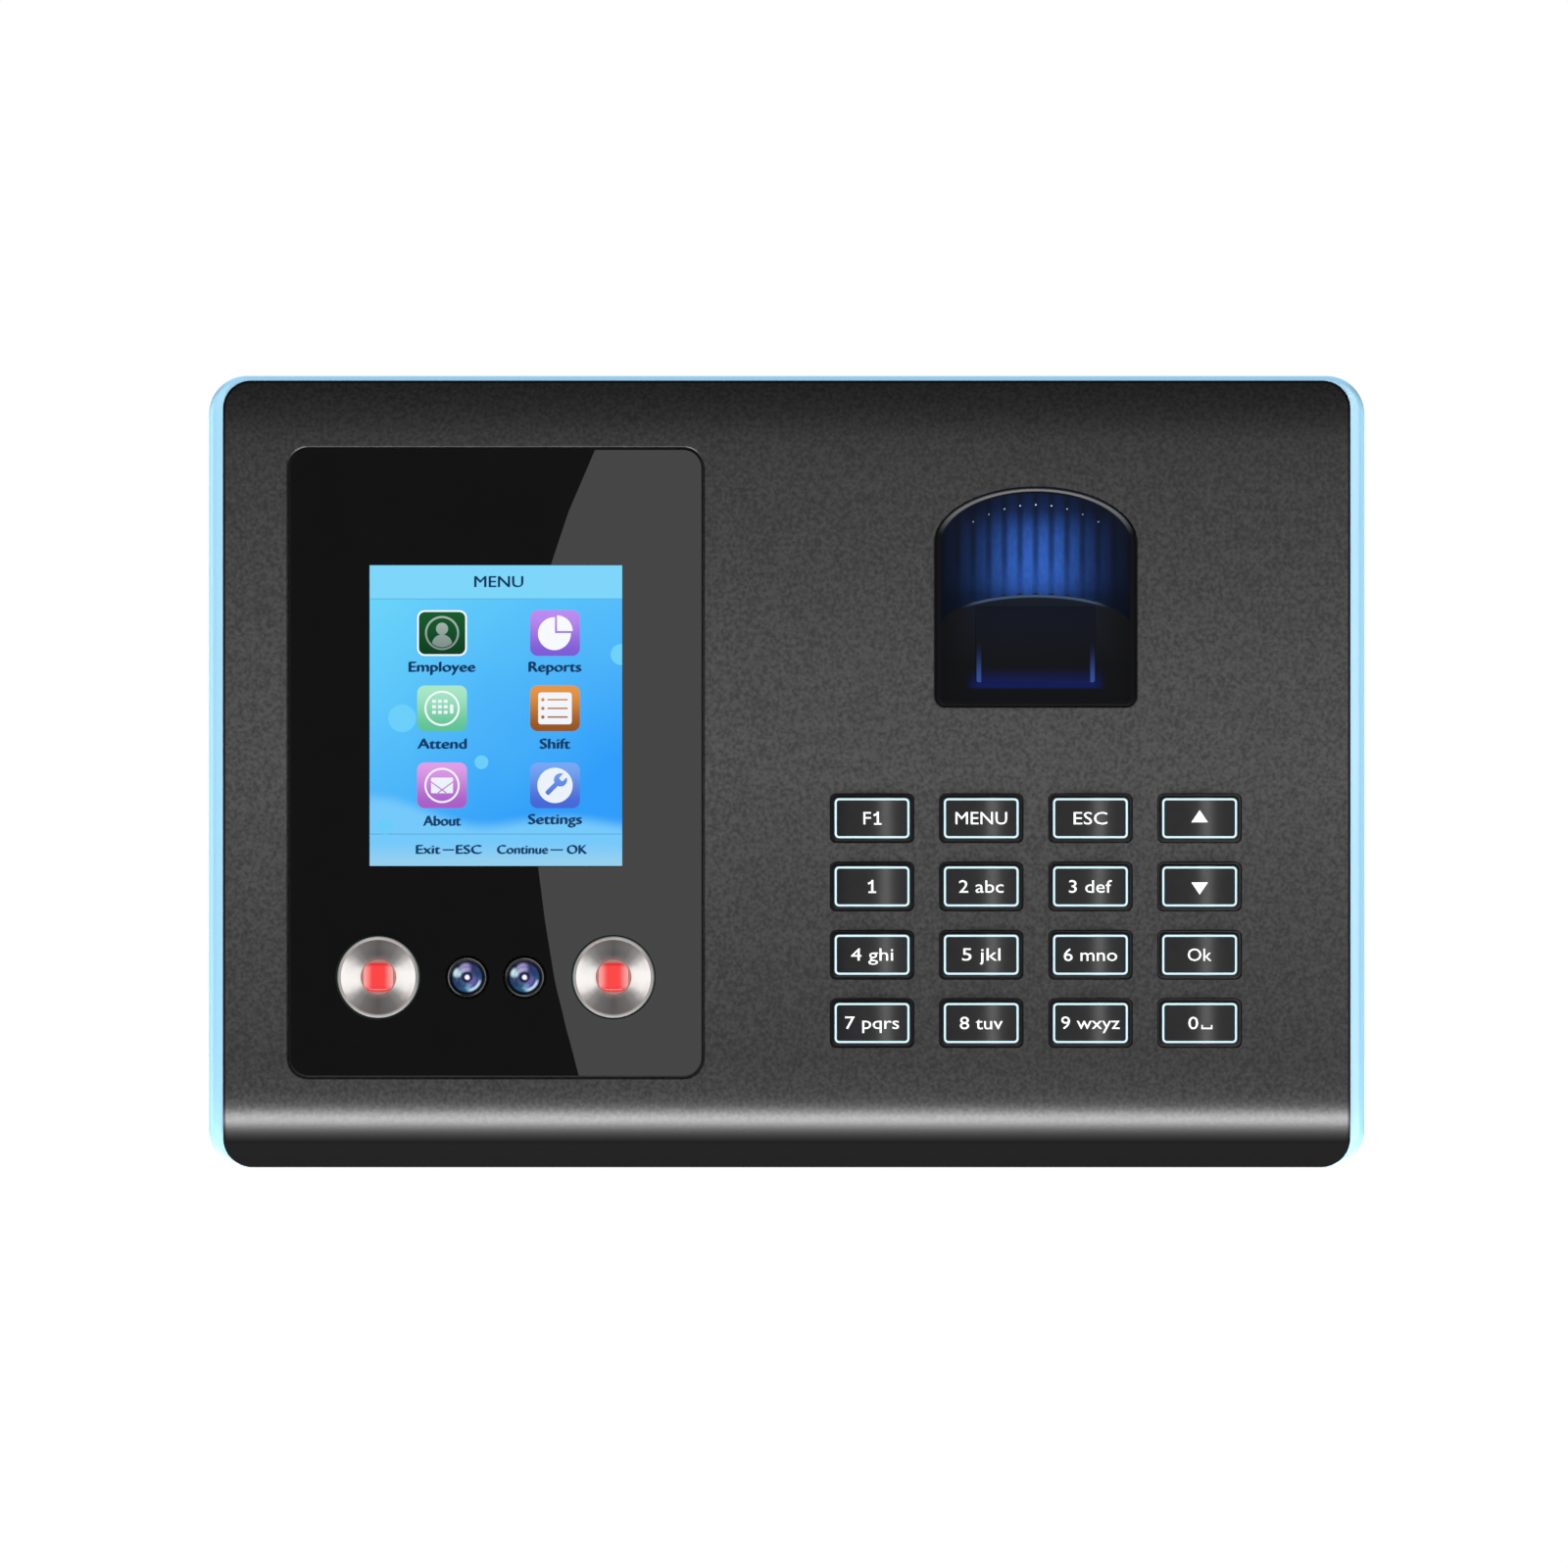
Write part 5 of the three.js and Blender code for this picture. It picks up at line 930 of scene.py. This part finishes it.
# Painted light from the reader's blue lamp, given as glow on the black moulding: a faint blue haze in the
# middle, a blue line along the lower arc of the recess, which is a painted highlight, and a deep blue glow at
# the foot.
edge = 25.05 + 5.257 * (1 - across * across / 266).sum("SQRT", 1 - across * across / 266)
lip = (1 - abs(up - edge).rise(0.08, 0.36)) * (1 - wide.rise(9.0, 13.0))
foot = (1 - up.rise(14.7, 18.2)) * up.rise(14.1, 14.7) * (1 - wide.rise(9.6, 12.4))
haze = up.rise(16, 28) * (1 - wide.rise(8, 16))
glow = haze.colour((0.0042, 0.0043, 0.0048, 1), (0.0056, 0.0082, 0.0145, 1))
glow = (0.9 * lip).colour(glow, (0.055, 0.090, 0.165, 1))
glow = foot.colour(glow, (0.004, 0.009, 0.085, 1))
reader_black = finished(flow, {
    "Base Color": noise(flow, where, 0.8).colour((0.0050, 0.0055, 0.0065, 1), (0.0075, 0.008, 0.009, 1)),
    "Roughness": 0.30 + 0.12 * noise(flow, where, 2.5), "Specular IOR Level": 0.06, "Emission Color": glow,
    "Emission Strength": 1.0})

flow, where = material("hood_flutes")
across, out, up = axes(flow, millimetres(flow, (READER_X, 0, 0)))
# Painted light: the blue glow on the hood is the reader lamp's light painted on, brightest low in the middle
# and fading up and out. The ribs being lighter than the grooves between them is painted shade.
flute = across * (math.pi / 2.7)
shade = 0.36 + 0.34 * (1 - up.rise(31, 38))
rib = shade + (1 - shade) * abs(flute.sum("SINE", flute)).rise(0.15, 0.92)
streak = 0.74 + 0.52 * noise(flow, millimetres(flow, (READER_X, 0, 0), unit=(0.001, 0.001, 0.05)), 1.6, 2.0)
DOWN = [(27, 0.35), (30.5, 0.45), (32, 0.76), (34, 0.97), (36, 1.0), (38, 0.9), (40, 0.8), (42, 0.58),
        (43, 0.42), (44, 0.28), (45, 0.17),
        (46, 0.12), (47, 0.10), (49, 0.04)]
tall = flow.node("ShaderNodeValToRGB", {"stops": [((z - 27) / 22, (v, v, v, 1)) for z, v in DOWN]},
                 {"Fac": (up - 27) / 22})
OUTWARD = [(0, 1), (2, 1), (4, 0.88), (6.75, 0.55), (9.45, 0.25), (12.15, 0.11), (14, 0.04), (17, 0.01)]
broad = flow.node("ShaderNodeValToRGB", {"stops": [(x / 17, (v, v, v, 1)) for x, v in OUTWARD]},
                  {"Fac": abs(across) / 17})
power = (tall * broad * rib * streak).clear()
hood_flutes = finished(flow, {"Base Color": (0.002, 0.002, 0.003, 1), "Roughness": 0.5 + 0.1 * rib,
                              "Specular IOR Level": 0.0,
                              "Emission Color": power.colour((0.0020, 0.0035, 0.0060, 1),
                                                             (0.029, 0.112, 0.48, 1)),
                                                             "Emission Strength": 1.0})

flow, where = material("arch_rim_painted_highlight")
across, out, up = axes(flow, millimetres(flow, (READER_X, 0, 39.6)))
swell = (across * across) / (17.2 * 17.2) + (up * up) / (9.3 * 9.3)
# Painted highlight: a pale grey line along the top of the arch's rim, fading down its sides.
line = swell.sum("SQRT", swell).rise(0.93, 0.955) * up.rise(1.0, 6.0) * (1 - 0.25 * abs(across).rise(6, 13))
arch_rim_painted_highlight = finished(flow, {"Base Color": line.colour((0.004, 0.004, 0.005, 1), (0.15, 0.15, 0.158, 1)),
                            "Roughness": 0.4 + 0.1 * noise(flow, where, 3.0),
                            "Specular IOR Level": 0.03})
placed(bezel, "reader_arch", "terminal", [reader_black, hood_flutes, arch_rim_painted_highlight],
       ["reader_bezel"], sharp=30)

dots = []
for dx in FLUTES:
    z = 45.9 - 3.0 * (dx / 11) ** 2
    depth_in = 34 - (crown_height(dx) - z) / SLOPE
    bead = bmesh.new()
    bmesh.ops.create_icosphere(bead, subdivisions=2, radius=0.17)
    bmesh.ops.translate(bead, vec=(READER_X + dx, -depth_in, z + 0.15), verts=bead.verts)
    dots.append(bead)
flow, where = material("light_bead")
across, out, up = axes(flow, millimetres(flow, (READER_X, 0, 0)))
glow = abs(across).rise(0.0, 9.0).colour((0.34, 0.38, 0.52, 1), (0.02, 0.03, 0.07, 1))
light_bead = finished(flow, {"Base Color": (0.1, 0.12, 0.2, 1), "Roughness": 0.3, "Emission Color": glow,
                             "Emission Strength": 1.0})
placed(gathered(*dots), "reader_light_beads", "terminal", [light_bead], even=False)

prism = worked(on_floor(20.66, 13.65, -4.8, 0.1, 0.34), "INTERSECT", arch(0, (20.6, 34)))
soften(prism, creases(prism, 60), 0.08, 2)
flow, where = material("prism_glass")
across, out, up = axes(flow, millimetres(flow, (READER_X, 0, 0)))
wide = abs(across)
# Painted light: the prism is given as glow, with blue bars down its two sides fading upward, a deep blue glow
# at its foot and a faint blue haze higher up.
fade = 1 - up.rise(15.2, 23.0)
painted_glow_bar = wide.rise(9.3, 9.55) * (1 - wide.rise(10.1, 10.3)) * fade * (0.4 + 0.6 * fade)
foot = (1 - up.rise(14.7, 18.2)) * up.rise(14.1, 14.7)
glow = up.rise(19, 27).colour((0.0054, 0.0056, 0.0070, 1), (0.0054, 0.0072, 0.0135, 1))
glow = foot.colour(glow, (0.005, 0.010, 0.085, 1))
glow = painted_glow_bar.clear().colour(glow, (0.034, 0.075, 0.30, 1))
prism_glass = finished(flow, {"Base Color": (0.004, 0.0045, 0.006, 1),
                              "Roughness": 0.12 + 0.04 * noise(flow, where, 0.5),
                              "Emission Color": glow, "Emission Strength": 1.0, "Specular IOR Level": 0.05})
# The ground edges of the prism glow faintly blue, a painted light.
ground_edge = speckled("ground_edge", 1.0, (0.004, 0.0045, 0.006, 1), (0.006, 0.0065, 0.008, 1), 0.7, 0.1, 3.0,
                       {"Specular IOR Level": 0.0, "Emission Color": (0.0048, 0.0058, 0.0090, 1),
                        "Emission Strength": 1.0})
for side in prism.faces:
    if side.normal.y > -0.9 or abs(side.normal.x) > 0.02:
        side.material_index = 1
placed(prism, "reader_glass", "terminal", [prism_glass, ground_edge], ["reader_prism"],
       even=False)
inner_black = speckled("inner_black", 1.5, (0.008, 0.008, 0.009, 1), (0.02, 0.02, 0.021, 1), 0.4, 0.2, 3.0,
                       detail=3.0)
dressed("reader_housing", inner_black)
dressed("reader_board", board_green)

# ---------------------------------------------------------------- keys
# Sixteen key caps in glossy black ABS, crowned across, each with a pale blue outline and a white legend inlaid
# in its top. A lip under the cover keeps it in its hole, and a silicone dome behind it springs it out. Its back
# is hollowed clear of the dome, which is rigid here and does not collapse when the key is pressed.

LEGENDS = [["F1", "MENU", "ESC", ""], ["1", "2 abc", "3 def", ""], ["4 ghi", "5 jkl", "6 mno", "Ok"],
           ["7 pqrs", "8 tuv", "9 wxyz", "0"]]
WIDTHS = [[3.3, 8.9, 5.8, 0], [1.2, 7.7, 7.4, 0], [7.3, 6.6, 9.2, 4.1], [9.3, 7.4, 10.1, 1.7]]
TOP, BACK = 34.6, 30.5  # the depths of the top and of the back of a key
CAP, LIP, HOLLOW = (6.85, 3.85), (7.75, 4.75), (5.15, 2.15)  # half widths and half heights
OUTLINE_OUT, OUTLINE_IN = (6.44, 3.44), (6.1, 3.1)
NAMES = [["f1", "menu", "esc", "up"], ["1", "2", "3", "down"], ["4", "5", "6", "ok"], ["7", "8", "9", "0"]]


def crowned(made, x, above=33.9, sag=0.26, half=6.85):
    """Bows the top of a key across its width, highest in the middle."""
    for k in range(-7, 8):
        bmesh.ops.bisect_plane(made, geom=made.verts[:] + made.edges[:] + made.faces[:], dist=1e-5,
                               plane_co=(x + k * 0.93, 0, 0), plane_no=(1, 0, 0))
    for vert in made.verts:
        if -vert.co.y > above:
            vert.co.y += sag * min(1.0, ((vert.co.x - x) / half) ** 2)
    return made


def figure_one(x, z):
    """A figure 1 with a flag and a foot."""
    stem = block((x - 0.14, x + 0.22), (34.48, 34.6), (z - 1.12, z + 1.12))
    flag = turned(block((x - 0.75, x + 0.15), (34.48, 34.6), (z + 0.62, z + 0.95)), x, z + 0.8, -24)
    return worked(stem, "UNION", flag, block((x - 0.62, x + 0.70), (34.48, 34.6), (z - 1.12, z - 0.84)))


key_gloss = speckled("key_gloss", 0.5, (0.011, 0.011, 0.012, 1), (0.016, 0.016, 0.017, 1), 0.10, 0.03, 5.0,
                     {"Specular IOR Level": 0.25})
# Painted shade: the sides and rounded edges of each cap take this near-black finish, for the dark gap round the
# key.
key_skirt_painted_shade = speckled("key_skirt_painted_shade", 1.0, (0.004, 0.004, 0.005, 1), (0.008, 0.008, 0.009, 1), 0.5, 0.1, 3.0,
                     {"Specular IOR Level": 0.06})
outline_blue = speckled("outline_blue", 0.35, (0.36, 0.54, 0.64, 1), (0.48, 0.66, 0.75, 1), 0.35, 0, 1,
                        {"Emission Color": (0.54, 0.74, 0.84, 1), "Emission Strength": 0.28})
legend_white = speckled("legend_white", 1.0, (0.80, 0.82, 0.84, 1), (0.90, 0.91, 0.92, 1), 0.4, 0, 1,
                        {"Emission Color": (1, 1, 1, 1), "Emission Strength": 0.22})
for row in range(4):
    for column in range(4):
        x, z = KEY_XS[column], KEY_ZS[row]
        cap = centred(x, z, *CAP, (BACK, 34.58), 0.9, 6)
        soften(cap, creases(cap, 60, lambda p: p.y < -34.5), 0.28, 4)
        for side in cap.faces:
            if side.normal.y > -0.98:
                side.material_index = 3
        cap = worked(cap, "UNION", centred(x, z, *LIP, (BACK, 31.3), 0.3, 2))
        cap = worked(cap, "DIFFERENCE", centred(x, z, *HOLLOW, (29, 31.42), 0.3, 2))
        ring = worked(centred(x, z, *OUTLINE_OUT, (34.4, 34.59), 0.75, 5), "DIFFERENCE",
                      centred(x, z, *OUTLINE_IN, (34, 35), 0.45, 5))
        parts = [cap, inked(ring, 1)]
        name = NAMES[row][column]
        if LEGENDS[row][column]:
            words = LEGENDS[row][column]
            if words == "F1":
                legend = [lettering("F", x - 0.85, TOP, z, 3.1, 1.3, 0.0, 0.12), figure_one(x + 0.95, z)]
            elif words == "1":
                legend = [figure_one(x, z)]
            else:
                lowered = 0.3 if any(c in words for c in "gjpqy") else 0
                legend = [lettering(words, x - (1.1 if name == "0" else 0), TOP, z - lowered, 3.1,
                                    WIDTHS[row][column], 0.0, 0.12)]
            parts += [inked(part, 2) for part in legend]
        if name == "0":
            tray = worked(block((x + 0.3, x + 2.2), (34.48, 34.6), (z - 1.05, z - 0.35)), "DIFFERENCE",
                          block((x + 0.55, x + 1.95), (34, 35), (z - 0.8, z)))
            parts.append(inked(tray, 2))
        if name in ("up", "down"):
            arrow = rod(x, z, 1.65, (34.48, 34.6), 3)
            bmesh.ops.scale(arrow, vec=(1, 1, 0.85), space=Matrix.Translation((0, 0, -z)), verts=arrow.verts)
            top = max(v.co.z for v in arrow.verts) - z
            lowest = z - min(v.co.z for v in arrow.verts)
            if (name == "up") != (top > lowest):
                turned(arrow, x, z, 180)
            parts.append(inked(arrow, 2))
        whole = crowned(gathered(*parts), x)
        placed(whole, "cap_" + name, "button_" + name,
               [key_gloss, outline_blue, legend_white, key_skirt_painted_shade], ["key_" + name])

mat_silicone = speckled("mat_silicone", 0.3, (0.62, 0.64, 0.62, 1), (0.72, 0.74, 0.72, 1), 0.55, 0.15, 2.0,
                        {"Subsurface Weight": 0.1})
dressed("keypad_mat", mat_silicone)
dressed("keypad_board", board_green)

# ---------------------------------------------------------------- main board, battery, speaker
# The green main board carries a tinned shield can and the tamper switch, and stands on posts in the rear
# cover. A wrapped lithium cell and a small speaker lie behind it, and red leads join them to the board.

dressed("main_board", board_green)
dressed("shield_can", bright_steel)
dressed("tamper_switch", inner_black)
flow, where = material("cell_wrap")
crinkle = noise(flow, where, 0.35, 3.0)
cell_wrap = finished(flow, {"Base Color": crinkle.colour((0.26, 0.30, 0.34, 1), (0.38, 0.42, 0.46, 1)),
                            "Metallic": 0.6,
                            "Roughness": 0.3 + 0.2 * crinkle, "Normal": crinkle.bump(0.0001, 0.4)})
dressed("battery", cell_wrap)
red_sleeve = speckled("red_sleeve", 1.0, (0.34, 0.015, 0.012, 1), (0.5, 0.03, 0.02, 1), 0.4)
dressed("battery_lead", red_sleeve)
dressed("speaker_lead", red_sleeve)

basket = spun([(0, 4.9), (4.6, 5.5), (4.8, 5.3), (11.4, 4.9), (12.1, 4.75), (12.4, 4.5), (13.5, 4.5),
               (13.5, 6.1), (8.1, 6.9), (7.4, 10.0), (0, 10.0)],
              SPEAKER_X, SPEAKER_Z, 64)
flow, where = material("speaker_paper")
pulp = noise(flow, where, 2.0, 3.0).colour((0.02, 0.02, 0.02, 1), (0.06, 0.058, 0.055, 1))
speaker_paper = finished(flow, {"Base Color": pulp, "Roughness": 0.75,
                                "Normal": noise(flow, where, 4.0).bump(0.00005, 0.5)})
placed(basket, "speaker_basket", "terminal", [speaker_paper], ["speaker"], sharp=25)

# ---------------------------------------------------------------- sockets
# Three sockets hang from the main board with their mouths down in the connector bay: a network port with
# eight gold contacts and a latch slot, a folded steel port with a black tongue, and a round power jack.

socket_black = speckled("socket_black", 1.5, (0.010, 0.010, 0.011, 1), (0.022, 0.022, 0.023, 1), 0.35, 0.15,
                        3.0)
contact_gold = speckled("contact_gold", 1.0, (0.78, 0.55, 0.18, 1), (0.90, 0.68, 0.28, 1), 0.25, 0, 1,
                        {"Metallic": 1.0})
net = block((-32, -16), (4.9, 18.2), (-31, -10))
soften(net, creases(net, 60), 0.25, 2)
net = worked(net, "DIFFERENCE", block((-29.9, -18.1), (7.45, 15.65), (-34, -16), 0.2, 2),
             block((-27, -21), (5.85, 11), (-34, -16)))
wires = [inked(block((-24 + 1.02 * k - 0.2, -24 + 1.02 * k + 0.2), (13.9, 14.3), (-29.6, -15.5)), 1)
         for k in (-3.5, -2.5, -1.5, -0.5, 0.5, 1.5, 2.5, 3.5)]
placed(gathered(net, *wires), "network_port", "terminal", [socket_black, contact_gold],
       ["network_socket"])
shell = block((-14.8, -1.6), (12.4, 18.2), (-31, -17), 0.6, 4, 2)
shell = worked(shell, "DIFFERENCE", block((-14.4, -2.0), (12.8, 17.8), (-33, -19), 0.4, 4, 2))
tongue = inked(block((-13.6, -2.8), (15.2, 17.0), (-30, -18.5), 0.1, 1, 2), 1)
pads = [inked(block((-8.2 + 2.3 * k - 0.5, -8.2 + 2.3 * k + 0.5), (15.1, 15.3), (-29.4, -20)), 2)
        for k in (-1.5, -0.5, 0.5, 1.5)]
placed(gathered(shell, tongue, *pads), "service_port", "terminal",
       [bright_steel, socket_black, contact_gold], ["usb_socket"])


def upright(x, d, r, z, sides=32):
    """A round rod that stands up between two heights."""
    made = bmesh.new()
    bmesh.ops.create_cone(made, cap_ends=True, segments=sides, radius1=r, radius2=r, depth=z[1] - z[0])
    bmesh.ops.translate(made, vec=(x, -d, (z[0] + z[1]) / 2), verts=made.verts)
    return made


BORE = (4.6, 12.7)  # across and in depth
jack = block((0.1, 9.1), (7.2, 18.2), (-31, -17))
soften(jack, creases(jack, 60), 0.3, 2)
jack = worked(jack, "DIFFERENCE", upright(*BORE, 3.2, (-34, -20)))
collar = worked(upright(*BORE, 3.15, (-30.9, -30.5), 40), "DIFFERENCE",
                upright(*BORE, 2.8, (-32, -30), 40))
placed(gathered(jack, inked(collar, 1), inked(upright(*BORE, 1.0, (-29.5, -19.5)), 1)), "power_jack",
       "terminal", [socket_black, bright_steel], ["power_socket"])

# ---------------------------------------------------------------- screws and tamper pin
# Six long self-tapping screws with pan heads hold the two covers together, and two short ones hold the main
# board. The white nylon pin in the middle of the back is held in by the wall plate and works the switch.


def screw(x, z, head, shank, seat, top, tip):
    """A pan-head screw with a cross recess. Its head runs from seat to top, and its shank from seat to tip."""
    out = 1 if top > seat else -1
    thick = abs(top - seat)
    profile = [(0, seat), (head, seat), (head, seat + out * thick * 0.45),
               (head * 0.93, seat + out * thick * 0.78),
               (head * 0.72, seat + out * thick * 0.97), (head * 0.4, top), (0, top)]
    made = spun(profile, x, z, 40)
    low, high = sorted((top - out * 1.0, top + out * 1.0))
    made = worked(made, "DIFFERENCE",
                  block((x - head * 0.6, x + head * 0.6), (low, high), (z - head * 0.13, z + head * 0.13)),
                  block((x - head * 0.13, x + head * 0.13), (low, high), (z - head * 0.6, z + head * 0.6)))
    step = -out * 1.0
    at = seat
    points = [(0, seat + out * 0.3), (shank * 0.85, seat + out * 0.3)]
    while abs(at + step - seat) < abs(tip - seat) - 1.0:
        points += [(shank * 0.78, at + step * 0.25), (shank, at + step * 0.5), (shank * 0.78, at + step * 0.75)]
        at += step
    points += [(shank * 0.5, tip - step * 0.3), (0, tip)]
    return gathered(made, spun(points, x, z, 24))


for i, (x, z) in enumerate(SCREWS):
    placed(screw(x, z, 2.7, 1.4, 4.5, 2.5, 17.5), "cover_screw_%d" % (i + 1), "terminal", [zinc_plate],
           ["case_screw_%d" % (i + 1)], even=False)
for i, (x, z) in enumerate((STANDOFFS[1], STANDOFFS[2])):
    placed(screw(x, z, 2.3, 1.2, 19.9, 21.4, 11.2), "main_board_screw_%d" % (i + 1), "terminal",
           [zinc_plate], ["board_screw_%d" % (i + 1)], even=False)
pin_nylon = speckled("pin_nylon", 0.8, (0.66, 0.66, 0.62, 1), (0.78, 0.78, 0.74, 1), 0.4, 0, 1,
                     {"Subsurface Weight": 0.15})
pin = spun([(0, 1.8), (1.35, 1.8), (1.8, 2.2), (1.8, 12.3), (3.0, 12.3), (3.0, 13.3), (0, 13.3)], 6, 8, 40)
placed(pin, "tamper_pin_nylon", "tamper_pin", [pin_nylon], ["tamper_plunger"], even=False)

# ---------------------------------------------------------------- floor, lights and camera
# A plain pale floor in a white studio. Soft light comes from in front and fades overhead, a long strip low in
# front draws the bright line along the nose, and a dark flag keeps that light off part of the window panel.
# The floor is pale from above and clear from below, so that the underside of the case can be looked at.

floor_shape = bmesh.new()
bmesh.ops.create_grid(floor_shape, x_segments=1, y_segments=1, size=3.0)
bmesh.ops.translate(floor_shape, vec=(0, 0, -0.0688), verts=floor_shape.verts)
floor_mesh = bpy.data.meshes.new("floor")
floor_shape.to_mesh(floor_mesh)
floor_shape.free()
floor = bpy.data.objects.new("floor", floor_mesh)
bpy.context.collection.objects.link(floor)
flow, where = material("floor_pale")
pale = flow.node("ShaderNodeBsdfPrincipled", {},
                 {"Base Color": (0.86, 0.86, 0.86, 1), "Roughness": 0.9, "Emission Color": (1, 1, 1, 1),
                                                  "Emission Strength": 0.82})
clear = flow.node("ShaderNodeBsdfTransparent")
under = flow.node("ShaderNodeNewGeometry", out=6)
both = flow.node("ShaderNodeMixShader", {}, {0: under, 1: pale, 2: clear})
flow.node("ShaderNodeOutputMaterial", {}, {"Surface": both})
floor_mesh.materials.append(flow.material)
floor.visible_glossy = False
floor.visible_diffuse = False
floor.visible_shadow = False

world = bpy.data.worlds.new("studio")
world.use_nodes = True
world.node_tree.nodes.clear()
flow = Flow(world.node_tree)
seen = flow.node("ShaderNodeLightPath", out=0)
_, north, height = axes(flow, flow.node("ShaderNodeTexCoord", out=0))

FRONT = [(-1, 0.55), (-0.3, 0.50), (0.0, 0.34), (0.3, 0.13), (0.56, 0.18), (0.81, 0.32), (0.93, 0.44),
         (1, 0.52)]
soft = flow.node("ShaderNodeValToRGB", {"stops": [((c + 1) / 2, (v, v, v, 1)) for c, v in FRONT]},
                 {"Fac": 0.5 - north * 0.5})
under = (height * -1.0).rise(0.2, 0.42) * north.rise(-0.3, 0.1)
soft = (0.97 * under).colour(soft, (0.02, 0.02, 0.02, 1))
strip = height.rise(-0.985, -0.93) * (1 - height.rise(-0.82, -0.68)) * (north * -1.0).rise(-0.05, 0.25)
sky = flow.node("ShaderNodeBackground", {}, {"Color": soft, "Strength": 1.0})
bright = flow.node("ShaderNodeBackground", {}, {"Color": (1, 1, 1, 1), "Strength": strip * 15.5})
lights = flow.node("ShaderNodeAddShader", {}, {0: sky, 1: bright})
white = flow.node("ShaderNodeBackground", {}, {"Color": (1, 1, 1, 1), "Strength": 1.02})
mixed = flow.node("ShaderNodeMixShader", {}, {0: seen, 1: lights, 2: white})
flow.node("ShaderNodeOutputWorld", {}, {"Surface": mixed})
bpy.context.scene.world = world


def lamp(name, place, aim, size, watts, diffuse=True):
    """A rectangular soft box at a place in metres, turned to face a point."""
    light = bpy.data.lights.new(name, "AREA")
    light.shape = "RECTANGLE"
    light.size, light.size_y, light.energy = size[0], size[1], watts
    item = bpy.data.objects.new(name, light)
    bpy.context.collection.objects.link(item)
    item.location = place
    item.rotation_mode = "QUATERNION"
    item.rotation_quaternion = (Vector(aim) - Vector(place)).to_track_quat("-Z", "Y")
    item.visible_camera = False
    item.visible_diffuse = diffuse
    return item


lamp("key_strip", (0.18, -3.0, 0.0), (0.04, 0, 0), (0.10, 1.6), 3.6, False)
lamp("left_box", (-1.0, -0.75, 0.05), (-0.05, 0, 0), (0.3, 1.1), 3.0)
lamp("right_box", (1.0, -0.75, 0.05), (-0.05, 0, 0), (0.3, 1.1), 0.2)

AXIS, AWAY, REACH = (-0.465, -2.156), 27.056 * 1000 / 3.6, 500.0
card = bmesh.new()
rim = [(-33.6, 55.7), (-37.6, 45.6), (-40.7, 35.6), (-42.2, 18.0), (-42.9, 0.0), (-42.9, -16.4), (-41.7, -25.8),
       (-40.1, -35.6), (-38.0, -45.3),
       (-36.3, -52.6), (-34.6, -60.0), (-100.0, -60.0), (-100.0, 66.0), (-29.6, 66.0)]
corners = [card.verts.new((AXIS[0] + (x - AXIS[0]) * (AWAY + REACH) / AWAY, -34 - REACH,
                           AXIS[1] + (z - AXIS[1]) * (AWAY + REACH) / AWAY)) for x, z in rim]
card.faces.new(corners)
bmesh.ops.scale(card, vec=(0.001,) * 3, verts=card.verts)
card_mesh = bpy.data.meshes.new("dark_flag")
card.to_mesh(card_mesh)
card.free()
flag = bpy.data.objects.new("dark_flag", card_mesh)
bpy.context.collection.objects.link(flag)
flow, where = material("flag_black")
card_mesh.materials.append(finished(flow, {"Base Color": (0.0, 0.0, 0.0, 1), "Roughness": 1.0,
                                           "Specular IOR Level": 0.0,
                                           "Emission Color": (1, 1, 1, 1), "Emission Strength": 0.035}))
flag.visible_camera = flag.visible_diffuse = flag.visible_shadow = flag.visible_transmission = False

camera = bpy.data.cameras.new("camera")
camera.lens, camera.sensor_width = 1000, 36
viewer = bpy.data.objects.new("camera", camera)
bpy.context.collection.objects.link(viewer)
viewer.location = (AXIS[0] / 1000, -0.034 - AWAY / 1000, AXIS[1] / 1000)
viewer.rotation_euler = (math.radians(90), 0, 0)
bpy.context.scene.camera = viewer
bpy.context.scene.view_settings.view_transform = "Standard"
